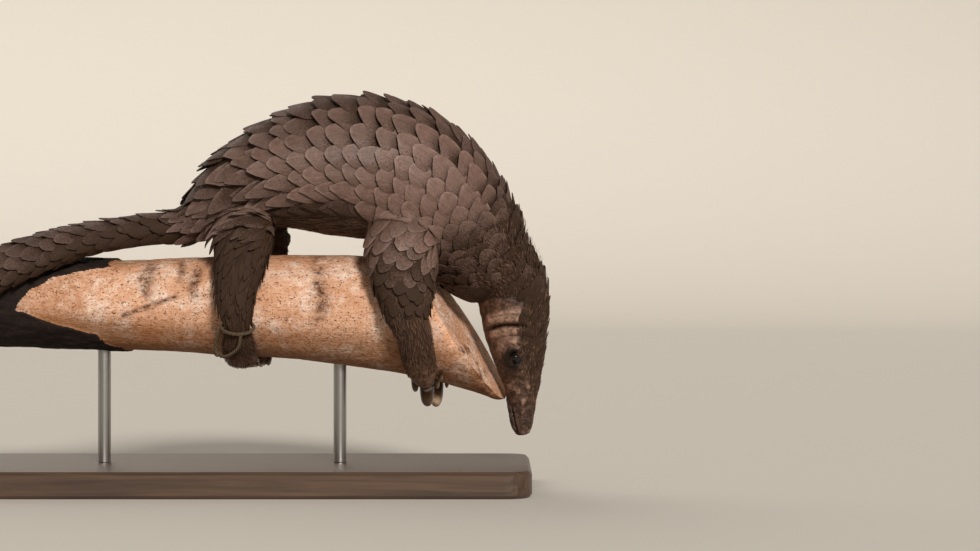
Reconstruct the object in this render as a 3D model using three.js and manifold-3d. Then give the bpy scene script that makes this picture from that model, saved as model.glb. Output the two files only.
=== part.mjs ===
// A life-size tree pangolin draped over a cut log, on a plain display stand.
// Millimetres, +Z up. X runs along the log towards the head, and -Y is the animal's right side.
// The origin is the centre of the base's underside.
import * as THREE from "three";
import { mergeVertices } from "three/addons/utils/BufferGeometryUtils.js";
import Module from "manifold-3d";

const wasm = await Module();
wasm.setup();

const DEG = Math.PI / 180;
const GAP = 0.3; // clearance between pieces that touch

// Stand
const BASE = { length: 360, width: 150, thickness: 16, corner: 14, bevel: 2 };
const ROD = { radius: 4, at: [-84, 62] };

// Log stations: [x, z of its axis, radius]. It dips towards the head and is cut slantwise under the chin.
const LOG_STATIONS = [
  [-340, 117.5, 26.2],
  [-240, 117.0, 26.8],
  [-150, 116.0, 27.3],
  [-110, 114.8, 27.2],
  [-74, 113.6, 27.3],
  [-25, 113.5, 29.8],
  [37, 112.2, 32.4],
  [68, 110.4, 34.2],
  [99, 106.8, 35.2],
  [124, 101.8, 35.6],
  [145, 95.6, 35.6],
  [200, 76.0, 35.6],
];
const LOG = { tail_end: -312, sides: 24, cut_at: 137.4, cut_back: 0.58, cut_aside: 0.22 };

// Trunk stations from the nose back to the tail root: [x, z, half height, half width]
const TRUNK = [
  [175.4, 34.4, 4.4, 3.8],
  [175.0, 37.2, 6.0, 5.2],
  [174.6, 42.2, 7.4, 6.5],
  [174.4, 54.6, 9.4, 8.4],
  [174.7, 63.9, 11.2, 10.0],
  [173.8, 73.2, 13.9, 12.4],
  [172.5, 85.6, 17.2, 15.2],
  [171.1, 98.0, 19.8, 17.6],
  [170.3, 111.0, 21.6, 19.4],
  [167.0, 126.5, 23.2, 23.6],
  [153.4, 141.4, 29.8, 31.0],
  [138.0, 160.6, 36.6, 38.4],
  [120.3, 180.0, 41.6, 43.0],
  [98.0, 194.7, 43.6, 44.4],
  [74.4, 199.6, 44.4, 44.0],
  [50.8, 199.0, 42.0, 42.2],
  [27.3, 195.3, 35.4, 38.4],
  [6.2, 188.5, 28.0, 33.5],
  [-9.3, 178.6, 21.8, 28.5],
  [-20.5, 169.6, 16.4, 22.3],
  [-32.0, 162.8, 11.6, 17.6],
];

// The tail leaves along the log, then turns to wrap round it
const TAIL = {
  length: 440,
  height: 10.6,
  width: 17.0,
  tip_height: 3,
  tip_width: 4.5,
  slant: 31, // degrees off the log's line where it crosses to the near side
  slant_by: 96,
  wrap: 70, // degrees off the log's line in the wrap
  wrap_from: 118,
  wrap_by: 190,
  bridge: 7.6, // height over the log behind the root
  bridge_from: 12,
  bridge_to: 112,
  wrap_gap: 0.4,
  lengths: 8,
};

// Legs as stations round the log:
// [x, degrees from its top, distance from its axis, half thickness, half width]
const HIND_LEG = [
  [3, 13, 57.5, 13.5, 17.6],
  [5, 33, 50, 12.5, 19],
  [4, 54, 44.6, 11.2, 15.6],
  [1.6, 82, 42.2, 9.4, 12.2],
  [2.4, 98, 41.8, 8.2, 10.2],
  [2.8, 107, 42.4, 6.8, 8.2],
  [2.8, 124, 40.6, 7.6, 10.8],
  [3.0, 142, 38.8, 7.0, 10.8],
  [3.4, 158, 36.8, 4.8, 9.2],
  [3.6, 168, 35.6, 3.0, 7.0],
];
const FORE_LEG = [
  [104, 17, 64, 16, 21],
  [102, 36, 55.8, 15, 22.4],
  [102.6, 54, 50, 13, 21],
  [104.6, 76, 46.8, 11, 16.4],
  [106.3, 91, 45.8, 9.8, 13],
  [109.4, 101, 45.3, 8.8, 11.6],
  [111, 112.5, 45, 8.2, 11],
  [112.6, 126, 44, 7.4, 10.6],
  [114.4, 142, 42.6, 6.2, 9.0],
  [115.4, 152, 42.0, 5.0, 6.6],
  [116, 160, 41.8, 4.4, 5.0],
];

// Claws: [x, degrees and distance of the root, its length, radius and outward bow]
const CLAW_TIP = 0.5;
const clawRow = ([x, degrees, distance, length, radius, rise]) => {
  return { x, degrees, distance, size: { length, radius, rise } };
};
const HIND_CLAWS = [
  [-5.0, 156, 36.4, 9, 1.7, 0.4],
  [-0.9, 160, 36.2, 11, 1.9, 0.5],
  [3.4, 161, 36.2, 12, 2.0, 0.5],
  [7.7, 160, 36.2, 11, 1.9, 0.5],
  [11.8, 156, 36.4, 9, 1.7, 0.4],
].map(clawRow);
const FORE_CLAWS = [
  [105.6, 137, 41.6, 8, 1.5, 0.8],
  [109.2, 148, 42.0, 13, 2.6, 3.0],
  [116.4, 156, 42.4, 16, 4.0, 7.0],
  [122.8, 141, 41.8, 10, 1.8, 1.6],
  [125.4, 133, 41.2, 7, 1.4, 0.8],
].map(clawRow);

const EYE = { radius: 4.4, along: 47.2, angle: 100, sunk: 3.2, lid: 1.1, opening: [3.9, 3.2, 4.4] };
const EAR = { along: 72.4, from: 66, to: 148, steps: 8 };
// The ear's section, as distance rearward and height off the head
const EAR_SECTION = [
  [5.0, -1.5],
  [4.2, 1.2],
  [1.0, 2.8],
  [-3.2, 3.2],
  [-4.0, 2.2],
  [-1.6, 0.8],
  [-1.4, -1.5],
];
const MOUTH = { length: 18, below_tip: 3.2, below_back: 6.4, slit: 0.7, depth: 1.0, lip: 2.4 };
const NOSTRIL = { radius: 1.2, along: 2.4, angle: 44 };

// The cord round the right ankle: a ring, and a loose strand that falls to a knot beside the foot
const CORD = { radius: 1.1, sides: 5, at_station: 5, steps: 18, strand_steps: 12, knot: 2.5 };
// The strand's places, as distance below the ring, angle round the ankle and height off the skin
const STRAND = [
  [0.4, -78, 0.2],
  [6, -84, 1.2],
  [12, -80, 1.6],
  [16, -62, 1.4],
  [14, -30, 0.8],
  [8, 4, 0.6],
  [0.6, 16, 0.2],
];

// Plates: spacing along the body, reach of the free edge, height of the tip over the next plate
const BODY_PLATES = { pitch: 9.6, reach: 8.3, lift: 1.7, low: 0.5, under: 1.0 };
const HEAD_PLATES = { pitch: 6.6, reach: 5.7, lift: 1.0, low: 0.3, under: 0.6 };
const TAIL_PLATES = { pitch: 12.0, reach: 10.5, lift: 1.5, low: 0.4, under: 1.0 };
const LEG_PLATES = { pitch: 9.0, reach: 7.8, lift: 1.2, low: 0.35, under: 0.8 };

const finish = (color, roughness) => new THREE.MeshStandardMaterial({ color, roughness, metalness: 0 });
const SCALES = finish(0x5c4a42, 0.55);
const SKIN = finish(0x6a5042, 0.7);
const CLAW = finish(0x6c533b, 0.45);
const EYEBALL = finish(0x120b08, 0.1);
const WOOD = finish(0xd0a37f, 0.8);
const CORD_FIBRE = finish(0x6b5b40, 0.9);
const STAND_WOOD = finish(0x3a3029, 0.5);
const STEEL = new THREE.MeshStandardMaterial({ color: 0x8c8c8a, roughness: 0.3, metalness: 1 });

const part = new THREE.Group();

const mix = (a, b, t) => a + (b - a) * t;

function ease(from, to, value) {
  const t = Math.min(1, Math.max(0, (value - from) / (to - from)));
  return t * t * (3 - 2 * t);
}

// Solids

function solidOf(geometry) {
  const bare = new THREE.BufferGeometry();
  const flat = geometry.index ? geometry.toNonIndexed() : geometry;
  bare.setAttribute("position", flat.getAttribute("position"));
  const merged = mergeVertices(bare, 1e-4);
  const vertProperties = merged.attributes.position.array;
  const triVerts = new Uint32Array(merged.index.array);
  const made = new wasm.Manifold(new wasm.Mesh({ numProp: 3, vertProperties, triVerts }));
  if (made.volume() > 0) return made;
  return new wasm.Manifold(new wasm.Mesh({ numProp: 3, vertProperties, triVerts: triVerts.reverse() }));
}

function largest(solid) {
  return solid.decompose().reduce((a, b) => (b.volume() > a.volume() ? b : a));
}

function addNode(name, solid, material) {
  const mesh = largest(solid).getMesh();
  const stride = mesh.numProp;
  const positions = new Float32Array(mesh.numVert * 3);
  for (let i = 0; i < mesh.numVert; i++) {
    positions.set(mesh.vertProperties.subarray(i * stride, i * stride + 3), i * 3);
  }
  const geometry = new THREE.BufferGeometry();
  geometry.setAttribute("position", new THREE.BufferAttribute(positions, 3));
  geometry.setIndex(new THREE.BufferAttribute(new Uint32Array(mesh.triVerts), 1));
  geometry.computeVertexNormals();
  const node = new THREE.Mesh(geometry, material);
  node.name = name;
  part.add(node);
}

// A closed skin over loops of points, each loop with the same count, closed by a fan at both ends.
function skinOver(loops) {
  const count = loops[0].length;
  const corners = [];
  const middle = (loop) =>
    loop.reduce((sum, p) => sum.add(p), new THREE.Vector3()).divideScalar(loop.length);
  const triangle = (...points) => points.forEach((p) => corners.push(p.x, p.y, p.z));
  for (let i = 0; i + 1 < loops.length; i++) {
    for (let j = 0; j < count; j++) {
      const k = (j + 1) % count;
      triangle(loops[i][j], loops[i + 1][j], loops[i + 1][k]);
      triangle(loops[i][j], loops[i + 1][k], loops[i][k]);
    }
  }
  const first = loops[0];
  const last = loops[loops.length - 1];
  for (let j = 0; j < count; j++) {
    const k = (j + 1) % count;
    triangle(middle(first), first[j], first[k]);
    triangle(middle(last), last[k], last[j]);
  }
  const geometry = new THREE.BufferGeometry();
  geometry.setAttribute("position", new THREE.Float32BufferAttribute(corners, 3));
  return solidOf(geometry);
}

function ellipsoid(centre, axes, halves, across = 12, down = 8) {
  const geometry = new THREE.SphereGeometry(1, across, down);
  const [a, b, c] = axes.map((axis, i) => axis.clone().multiplyScalar(halves[i]));
  geometry.applyMatrix4(new THREE.Matrix4().makeBasis(a, b, c).setPosition(centre));
  return solidOf(geometry);
}

// Places along a limb

class Path {
  // Rows of [x, y, z, half height, half width]; backOf(centre, along) gives the way its back faces.
  constructor(rows, backOf) {
    const knots = [0];
    for (let i = 1; i < rows.length; i++) {
      knots.push(knots[i - 1] + Math.hypot(...[0, 1, 2].map((k) => rows[i][k] - rows[i - 1][k])));
    }
    this.samples = [];
    const starts = [];
    const step = 1.5;
    for (let i = 0; i + 1 < rows.length; i++) {
      const span = knots[i + 1] - knots[i];
      const steps = Math.max(2, Math.ceil(span / step));
      for (let j = i ? 1 : 0; j <= steps; j++) {
        this.samples.push(Path.between(rows, knots, i, j / steps));
      }
      starts.push(this.samples.length - 1);
    }
    this.lengths = [0];
    for (let i = 1; i < this.samples.length; i++) {
      const [a, b] = [this.samples[i - 1], this.samples[i]];
      this.lengths.push(this.lengths[i - 1] + Math.hypot(b[0] - a[0], b[1] - a[1], b[2] - a[2]));
    }
    this.length = this.lengths[this.lengths.length - 1];
    this.stations = [0, ...starts.map((i) => this.lengths[i])];
    this.backOf = backOf;
  }

  static between(rows, knots, i, t) {
    const slope = (k, c) => {
      if (k === 0) return (rows[1][c] - rows[0][c]) / (knots[1] - knots[0]);
      const n = rows.length - 1;
      if (k === n) return (rows[n][c] - rows[n - 1][c]) / (knots[n] - knots[n - 1]);
      const before = knots[k] - knots[k - 1];
      const after = knots[k + 1] - knots[k];
      const rise = (rows[k + 1][c] - rows[k][c]) / after;
      const fall = (rows[k][c] - rows[k - 1][c]) / before;
      return (rise * before + fall * after) / (before + after);
    };
    const span = knots[i + 1] - knots[i];
    const [t2, t3] = [t * t, t * t * t];
    return rows[i].map(
      (_, c) =>
        (2 * t3 - 3 * t2 + 1) * rows[i][c] +
        (t3 - 2 * t2 + t) * span * slope(i, c) +
        (3 * t2 - 2 * t3) * rows[i + 1][c] +
        (t3 - t2) * span * slope(i + 1, c),
    );
  }

  at(distance) {
    const s = Math.min(this.length, Math.max(0, distance));
    let i = this.lengths.findIndex((l) => l >= s);
    i = Math.max(1, i);
    const t = (s - this.lengths[i - 1]) / (this.lengths[i] - this.lengths[i - 1]);
    const row = this.samples[i - 1].map((a, c) => mix(a, this.samples[i][c], t));
    const [before, after] = [this.sampleNear(s - 2), this.sampleNear(s + 2)];
    const along = after.sub(before).normalize();
    const centre = new THREE.Vector3(row[0], row[1], row[2]).addScaledVector(along, distance - s);
    const back = this.backOf(centre, along);
    back.addScaledVector(along, -back.dot(along)).normalize();
    const side = new THREE.Vector3().crossVectors(back, along);
    return { centre, along, back, side, height: row[3], width: row[4] };
  }

  sampleNear(distance) {
    const s = Math.min(this.length, Math.max(0, distance));
    const i = Math.max(1, this.lengths.findIndex((l) => l >= s));
    const t = (s - this.lengths[i - 1]) / (this.lengths[i] - this.lengths[i - 1]);
    const [a, b] = [this.samples[i - 1], this.samples[i]];
    return new THREE.Vector3(mix(a[0], b[0], t), mix(a[1], b[1], t), mix(a[2], b[2], t));
  }

  // The skin's point at an angle from the back, positive to the limb's own side, raised off the skin.
  point(distance, angle, raised = 0) {
    const { centre, back, side, height, width } = this.at(distance);
    return centre
      .addScaledVector(back, (height + raised) * Math.cos(angle))
      .addScaledVector(side, (width + raised) * Math.sin(angle));
  }
}

// Columns of points round a limb: plates share the angle within +-covered, plain columns fill the rest.
function columnsRound(plates, corners, covered, plain) {
  const columns = [];
  for (let i = 0; i <= plates * corners; i++) {
    columns.push({ angle: mix(-covered, covered, i / (plates * corners)) * DEG, turn: i / corners });
  }
  for (let i = 1; i <= plain; i++) {
    columns.push({ angle: (covered + ((360 - 2 * covered) * i) / (plain + 1)) * DEG, turn: 0 });
  }
  return columns;
}

// A closed, smooth tube.
function plainTube(path, from, to, sides, raised) {
  const rings = Math.ceil((to - from) / 12);
  const loops = [];
  for (let i = 0; i <= rings; i++) {
    const ring = [];
    for (let j = 0; j < sides; j++) {
      ring.push(path.point(mix(from, to, i / rings), (j / sides) * 2 * Math.PI, raised));
    }
    loops.push(ring);
  }
  return skinOver(loops);
}

// Between -1 and 1, always the same for one plate of one row.
function varied(row, plate) {
  const wave = Math.sin(row * 12.9898 + Math.floor(plate) * 78.233) * 43758.5453;
  return 2 * (wave - Math.floor(wave)) - 1;
}

// A closed tube from one row of overlapping plates to another, their free edges pointing along the path.
// cover(distance, angle) is 1 where plates stand in full and 0 on bare skin.
function platedTube(path, plates, fromRow, toRow, columns, cover, raised = 0) {
  const { start, pitch, reach, lift, low, under } = plates;
  const from = start + fromRow * pitch + GAP / 2;
  const to = start + toRow * pitch - GAP / 2;
  const loops = [columns.map(({ angle }) => path.point(from, angle, raised))];
  for (let row = fromRow; row < toRow; row++) {
    const top = [];
    const foot = [];
    for (const { angle, turn } of columns) {
      const place = turn + row / 2;
      const spread = 1 + 0.12 * varied(row, place);
      const tip = Math.sin(Math.PI * (place - Math.floor(place))) ** 0.7;
      const full = cover(start + row * pitch, angle);
      const edge = Math.max(from + 0.5, start + row * pitch + full * reach * tip * Math.min(1.05, spread));
      const behind = edge - full * under * tip + (1 - full) * pitch * 0.5;
      top.push(path.point(edge, angle, raised + full * mix(low, lift * spread, tip)));
      foot.push(path.point(behind, angle, raised));
    }
    const plain = columns.every(({ angle }) => cover(start + row * pitch, angle) === 0);
    if (!plain) loops.push(top);
    loops.push(foot);
  }
  loops.push(columns.map(({ angle }) => path.point(to, angle, raised)));
  return skinOver(loops);
}

// A tapered, many-sided tube through points.
function taperedTube(points, radii, sides = 8) {
  const curve = new THREE.CatmullRomCurve3(points);
  const steps = points.length;
  const frames = curve.computeFrenetFrames(steps, false);
  const loops = [];
  for (let i = 0; i <= steps; i++) {
    const t = i / steps;
    const centre = curve.getPoint(t);
    const radius = mix(radii[0], radii[1], t);
    const loop = [];
    for (let j = 0; j < sides; j++) {
      const angle = (j / sides) * 2 * Math.PI;
      const spoke = frames.normals[i].clone().multiplyScalar(Math.cos(angle) * radius);
      spoke.addScaledVector(frames.binormals[i], -Math.sin(angle) * radius);
      loop.push(centre.clone().add(spoke));
    }
    loops.push(loop);
  }
  return skinOver(loops);
}

// Log

const logAt = (x, column) => {
  const i = Math.max(1, LOG_STATIONS.findIndex((station) => station[0] >= x));
  const [before, after] = [LOG_STATIONS[i - 1], LOG_STATIONS[i]];
  return mix(before[column], after[column], (x - before[0]) / (after[0] - before[0]));
};
const logHeight = (x) => logAt(x, 1);
const logRadius = (x) => logAt(x, 2);

// A point round the log: degrees from its top, positive to the near side.
function roundLog(x, degrees, distance) {
  const angle = degrees * DEG;
  return new THREE.Vector3(x, -distance * Math.sin(angle), logHeight(x) + distance * Math.cos(angle));
}

function logSolid(grown) {
  const loops = LOG_STATIONS.map(([x, , radius]) => {
    const loop = [];
    for (let j = 0; j < LOG.sides; j++) loop.push(roundLog(x, (-j / LOG.sides) * 360, radius + grown));
    return loop;
  });
  let solid = skinOver(loops);
  const face = new THREE.Vector3(-1, LOG.cut_aside, -LOG.cut_back).normalize();
  const middle = new THREE.Vector3(LOG.cut_at, 0, logHeight(LOG.cut_at));
  solid = solid.trimByPlane(face.toArray(), face.dot(middle) - grown);
  return solid.trimByPlane([1, 0, 0], LOG.tail_end - grown);
}

const log = logSolid(0);
const logCleared = logSolid(GAP);
const awayFromLog = (centre) => new THREE.Vector3(0, centre.y, centre.z - logHeight(centre.x));

// Trunk

const trunk = new Path(
  TRUNK.map(([x, z, height, width]) => [x, 0, z, height, width]),
  (_, along) => new THREE.Vector3(along.z, 0, -along.x),
);
const HEAD = { ...HEAD_PLATES, start: 0, rows: 12 };
const HEAD_TO = HEAD.rows * HEAD.pitch;
const ROOT = trunk.length;
const BODY_ROWS = 27;
const BODY = { ...BODY_PLATES, start: HEAD_TO, pitch: (ROOT - HEAD_TO) / BODY_ROWS };

// Half the angle that plates cover: the brow on the head, the whole back and flanks behind it.
const coveredTo = (s) =>
  s < 92 ? mix(40, 66, ease(24, 80, s)) + 62 * ease(78, 96, s) : 128 + 34 * ease(ROOT - 45, ROOT, s);
const offBack = (angle) => Math.abs(((angle / DEG + 540) % 360) - 180);
const COVER_SOFT = 8; // degrees over which the plates run out
const edgeOfCover = (s, angle) => 1 - ease(coveredTo(s) - COVER_SOFT, coveredTo(s), offBack(angle));

const trunkColumns = columnsRound(14, 2, 134, 3);
for (const [name, from, to] of [
  ["neck", 0, 4],
  ["chest", 4, 11],
  ["back", 11, 19],
  ["rump", 19, BODY_ROWS],
]) {
  const tube = platedTube(trunk, BODY, from, to, trunkColumns, edgeOfCover);
  addNode(name, tube.subtract(logCleared), SCALES);
}

// What the legs keep clear of: a smooth skin over the tips of the plates
const trunkCleared = plainTube(trunk, HEAD_TO, ROOT, 30, BODY_PLATES.lift + GAP * 1.5);

// Head

const headColumns = columnsRound(6, 2, 70, 9);
const headCover = (s, angle) => edgeOfCover(s, angle) * ease(20, 32, s);

const headTube = (raised = 0) => platedTube(trunk, HEAD, 0, HEAD.rows, headColumns, headCover, raised);

const eyePlace = (hand) => {
  const angle = EYE.angle * DEG * hand;
  const { along } = trunk.at(EYE.along);
  const rim = trunk.point(EYE.along, angle);
  const inside = trunk.point(EYE.along, angle, -4);
  const out = rim.clone().sub(inside).normalize();
  return { centre: rim.addScaledVector(out, -EYE.sunk), out, along };
};

function makeHead() {
  let head = headTube();
  const across = new THREE.Vector3(0, 1, 0);
  // Lips and the line of the mouth, on the underside of the snout
  const tip = trunk.at(1);
  const back = trunk.at(MOUTH.length);
  const low = tip.centre.clone().addScaledVector(tip.back, -MOUTH.below_tip);
  const high = back.centre.clone().addScaledVector(back.back, -MOUTH.below_back);
  const run = high.clone().sub(low);
  const length = run.length() + 8;
  run.normalize();
  const up = new THREE.Vector3().crossVectors(run, across).normalize();
  const middle = low.clone().lerp(high, 0.5).addScaledVector(run, -4);
  const slab = (thickness) => {
    const box = new THREE.BoxGeometry(length, 50, thickness);
    box.applyMatrix4(new THREE.Matrix4().makeBasis(run, across, up).setPosition(middle));
    return solidOf(box);
  };
  head = head.add(slab(MOUTH.lip).intersect(headTube(0.5)));
  head = head.subtract(slab(MOUTH.slit).subtract(headTube(-MOUTH.depth)));
  for (const hand of [1, -1]) {
    const { centre, out, along } = eyePlace(hand);
    const down = new THREE.Vector3().crossVectors(out, along).normalize();
    const axes = [along, down, out];
    const sized = (r) => [r, r, r];
    head = head.add(ellipsoid(centre, axes, sized(EYE.radius + EYE.lid)));
    const opening = centre.clone().addScaledVector(out, EYE.radius);
    head = head.subtract(ellipsoid(opening, axes, EYE.opening, 10, 6));
    head = head.subtract(ellipsoid(centre, axes, sized(EYE.radius + GAP)));
    const nostril = trunk.point(NOSTRIL.along, NOSTRIL.angle * DEG * hand);
    head = head.subtract(ellipsoid(nostril, axes, sized(NOSTRIL.radius), 6, 4));
  }
  return head;
}

addNode("head", makeHead(), SKIN);

for (const [name, hand] of [["right", 1], ["left", -1]]) {
  const { centre, out, along } = eyePlace(hand);
  const down = new THREE.Vector3().crossVectors(out, along).normalize();
  const ball = ellipsoid(centre, [along, down, out], [EYE.radius, EYE.radius, EYE.radius]);
  addNode("eye_" + name, ball, EYEBALL);

  // The ear is a low fleshy fold whose cup opens towards the face
  const folds = [];
  for (let i = 0; i <= EAR.steps; i++) {
    const full = Math.max(0.2, Math.sin((Math.PI * i) / EAR.steps)) ** 0.6;
    const angle = mix(EAR.from, EAR.to, i / EAR.steps) * DEG * hand;
    folds.push(EAR_SECTION.map(([rear, off]) => trunk.point(EAR.along + rear * full, angle, off * full)));
  }
  addNode("ear_" + name, skinOver(folds).subtract(headTube(GAP)), SKIN);
}

// Tail

function tailPath() {
  const rows = [];
  const step = 2;
  const root = trunk.at(ROOT).centre;
  const rootHeight = root.z - logHeight(root.x);
  let x = root.x;
  let angle = 0;
  for (let s = 0; s <= TAIL.length; s += step) {
    const shrink = ease(0, TAIL.length, s) * 0.35 + 0.65 * (s / TAIL.length);
    const round = Math.sqrt(Math.max(0, 1 - Math.max(0, (s - TAIL.length + 9) / 9.5) ** 2));
    const height = mix(TAIL.height, TAIL.tip_height, shrink) * round;
    const width = mix(TAIL.width, TAIL.tip_width, shrink) * round;
    const bridge = TAIL.bridge * (1 - ease(TAIL.bridge_from, TAIL.bridge_to, s));
    const rest = rootHeight - logRadius(root.x) - TAIL.height - TAIL.bridge - TAIL.wrap_gap;
    const settle = logRadius(x) + height + bridge + TAIL.wrap_gap + rest * Math.exp(-s / 5);
    rows.push([...roundLog(x, angle / DEG, settle).toArray(), height, width]);
    const slant = TAIL.slant * ease(-10, TAIL.slant_by, s) * ease(-1, 25, s);
    const off = (slant + (TAIL.wrap - TAIL.slant) * ease(TAIL.wrap_from, TAIL.wrap_by, s)) * DEG;
    x -= Math.cos(off) * step;
    angle += (Math.sin(off) * step) / settle;
  }
  return new Path(rows, awayFromLog);
}

const tail = tailPath();
const TAIL_ROWS = 37;
const TAILED = { ...TAIL_PLATES, start: 0, pitch: tail.length / TAIL_ROWS };
const tailColumns = columnsRound(6, 2, 132, 3);
const { centre: rootCentre, along: rootAlong } = trunk.at(ROOT);
const tailCover = (s, angle) =>
  (1 - 0.6 * ease(tail.length - 90, tail.length - 10, s)) *
  (1 - ease(118, 132, offBack(angle)));
for (let i = 0; i < TAIL.lengths; i++) {
  const from = Math.round((TAIL_ROWS * i) / TAIL.lengths);
  const to = Math.round((TAIL_ROWS * (i + 1)) / TAIL.lengths);
  let tube = platedTube(tail, TAILED, from, to, tailColumns, tailCover);
  if (i === 0) tube = tube.trimByPlane(rootAlong.toArray(), rootAlong.dot(rootCentre) + GAP / 2);
  addNode("tail_" + (i + 1), tube.subtract(logCleared), SCALES);
}

// Legs

const legColumns = columnsRound(5, 2, 112, 4);
const LEG_ROWS = 14;
const LEG_PARTS = [[0, 5], [5, 9], [9, LEG_ROWS]];

function legPath(stations, hand, shift) {
  const rows = stations.map(([x, degrees, distance, height, width]) => [
    ...roundLog(x + shift, degrees * hand, distance).toArray(),
    height,
    width,
  ]);
  return new Path(rows, awayFromLog);
}

// Pieces of a leg, parted at the given rows, plated down to a distance along it.
function legPieces(path, platedTo) {
  const plates = { ...LEG_PLATES, start: 0, pitch: path.length / LEG_ROWS };
  const cover = (s, angle) =>
    (1 - ease(88, 112, offBack(angle))) * (1 - ease(platedTo - 8, platedTo + 6, s));
  return LEG_PARTS.map(([from, to]) => {
    const piece = platedTube(path, plates, from, to, legColumns, cover);
    return piece.subtract(trunkCleared).subtract(logCleared);
  });
}

// Claws curl on round the log from the end of a foot.
function clawAt({ x, degrees, distance, size }, shift, hand, grown) {
  const points = [0, 0.5, 1].map((t) => {
    const turn = (size.length * t) / distance / DEG;
    const bow = size.rise * Math.sin(Math.PI * t * 0.6);
    return roundLog(x + shift, (degrees + turn) * hand, distance + bow);
  });
  return taperedTube(points, [size.radius + grown, CLAW_TIP], 6);
}

for (const [name, hand, shift] of [["right", 1, 0], ["left", -1, 5]]) {
  const hind = legPath(HIND_LEG, hand, shift);
  const [thigh, shank, hindPaw] = legPieces(hind, 66);
  const fore = legPath(FORE_LEG, hand, shift);
  const [upperArm, forearm, forePaw] = legPieces(fore, 48);

  const toes = [];
  const fitClaws = (paw, leg, toesOf) => {
    let seated = paw;
    toesOf.forEach((toe, i) => {
      const claw = clawAt(toe, shift, hand, 0).subtract(logCleared);
      toes.push(["claw_" + leg + "_" + name + "_" + (i + 1), claw]);
      seated = seated.subtract(clawAt(toe, shift, hand, GAP));
    });
    return seated;
  };
  const hindFoot = fitClaws(hindPaw, "hind", HIND_CLAWS);
  const foreFoot = fitClaws(forePaw, "fore", FORE_CLAWS);
  addNode("thigh_" + name, thigh, SCALES);
  addNode("shank_" + name, shank, SCALES);
  addNode("hind_foot_" + name, hindFoot, SKIN);
  addNode("upper_arm_" + name, upperArm, SCALES);
  addNode("forearm_" + name, forearm, SKIN);
  addNode("fore_foot_" + name, foreFoot, SKIN);
  for (const [clawName, claw] of toes) addNode(clawName, claw, CLAW);
}

// Cord

const hindRight = legPath(HIND_LEG, 1, 0);
const ankle = hindRight.stations[CORD.at_station];

function cordThrough(points, closed) {
  const curve = new THREE.CatmullRomCurve3(points, closed);
  const steps = closed ? CORD.steps : CORD.strand_steps;
  const geometry = new THREE.TubeGeometry(curve, steps, CORD.radius, CORD.sides, closed);
  if (closed) return solidOf(geometry);
  const ends = [0, 1].map((t) => {
    const cap = new THREE.SphereGeometry(CORD.radius * 1.02, 6, 5);
    cap.translate(...curve.getPoint(t).toArray());
    return solidOf(cap);
  });
  const loops = [];
  const ring = geometry.getAttribute("position");
  for (let i = 0; i <= steps; i++) {
    const loop = [];
    for (let j = 0; j < CORD.sides; j++) {
      loop.push(new THREE.Vector3().fromBufferAttribute(ring, i * (CORD.sides + 1) + j));
    }
    loops.push(loop);
  }
  return wasm.Manifold.union([skinOver(loops), ...ends]);
}

const CORD_OFF = GAP + 0.1; // between the cord and the skin
const round = [];
for (let i = 0; i < CORD.steps; i++) {
  const angle = (i / CORD.steps) * 2 * Math.PI;
  round.push(hindRight.point(ankle + 0.8 * Math.sin(angle + 1), angle, CORD.radius + CORD_OFF));
}
const strand = STRAND.map(([below, degrees, off]) =>
  hindRight.point(ankle + below, degrees * DEG, CORD.radius + CORD_OFF + off),
);
const upright = [new THREE.Vector3(1, 0, 0), new THREE.Vector3(0, 1, 0), new THREE.Vector3(0, 0, 1)];
const knotHalves = [CORD.knot, CORD.knot * 0.8, CORD.knot * 1.1];
const knot = ellipsoid(strand[3], upright, knotHalves, 8, 6);
const cord = wasm.Manifold.union([cordThrough(round, true), cordThrough(strand, false), knot]);
addNode("ankle_cord", cord, CORD_FIBRE);

// Stand

addNode("log", log, WOOD);

function makeBase() {
  const { length, width, thickness, corner, bevel } = BASE;
  const outline = new THREE.Shape();
  const [x, y] = [length / 2 - bevel, width / 2 - bevel];
  outline.moveTo(-x + corner, -y);
  outline.lineTo(x - corner, -y);
  outline.absarc(x - corner, -y + corner, corner, -Math.PI / 2, 0);
  outline.lineTo(x, y - corner);
  outline.absarc(x - corner, y - corner, corner, 0, Math.PI / 2);
  outline.lineTo(-x + corner, y);
  outline.absarc(-x + corner, y - corner, corner, Math.PI / 2, Math.PI);
  outline.lineTo(-x, -y + corner);
  outline.absarc(-x + corner, -y + corner, corner, Math.PI, 1.5 * Math.PI);
  const geometry = new THREE.ExtrudeGeometry(outline, {
    depth: thickness - 2 * bevel,
    bevelThickness: bevel,
    bevelSize: bevel,
    bevelSegments: 1,
    curveSegments: 5,
  });
  geometry.translate(0, 0, bevel);
  return solidOf(geometry);
}

addNode("stand_base", makeBase(), STAND_WOOD);

ROD.at.forEach((x, i) => {
  const top = logHeight(x);
  const geometry = new THREE.CylinderGeometry(ROD.radius, ROD.radius, top - BASE.thickness - GAP, 20);
  geometry.rotateX(Math.PI / 2);
  geometry.translate(x, 0, (top + BASE.thickness + GAP) / 2);
  addNode("stand_rod_" + (i + 1), solidOf(geometry).subtract(logCleared), STEEL);
});

export default part;
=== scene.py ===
"""The looks of a life-size tree pangolin draped over a cut log, on a plain display stand."""

import math

import bpy
import numpy as np
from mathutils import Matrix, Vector
from mathutils.bvhtree import BVHTree


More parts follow.
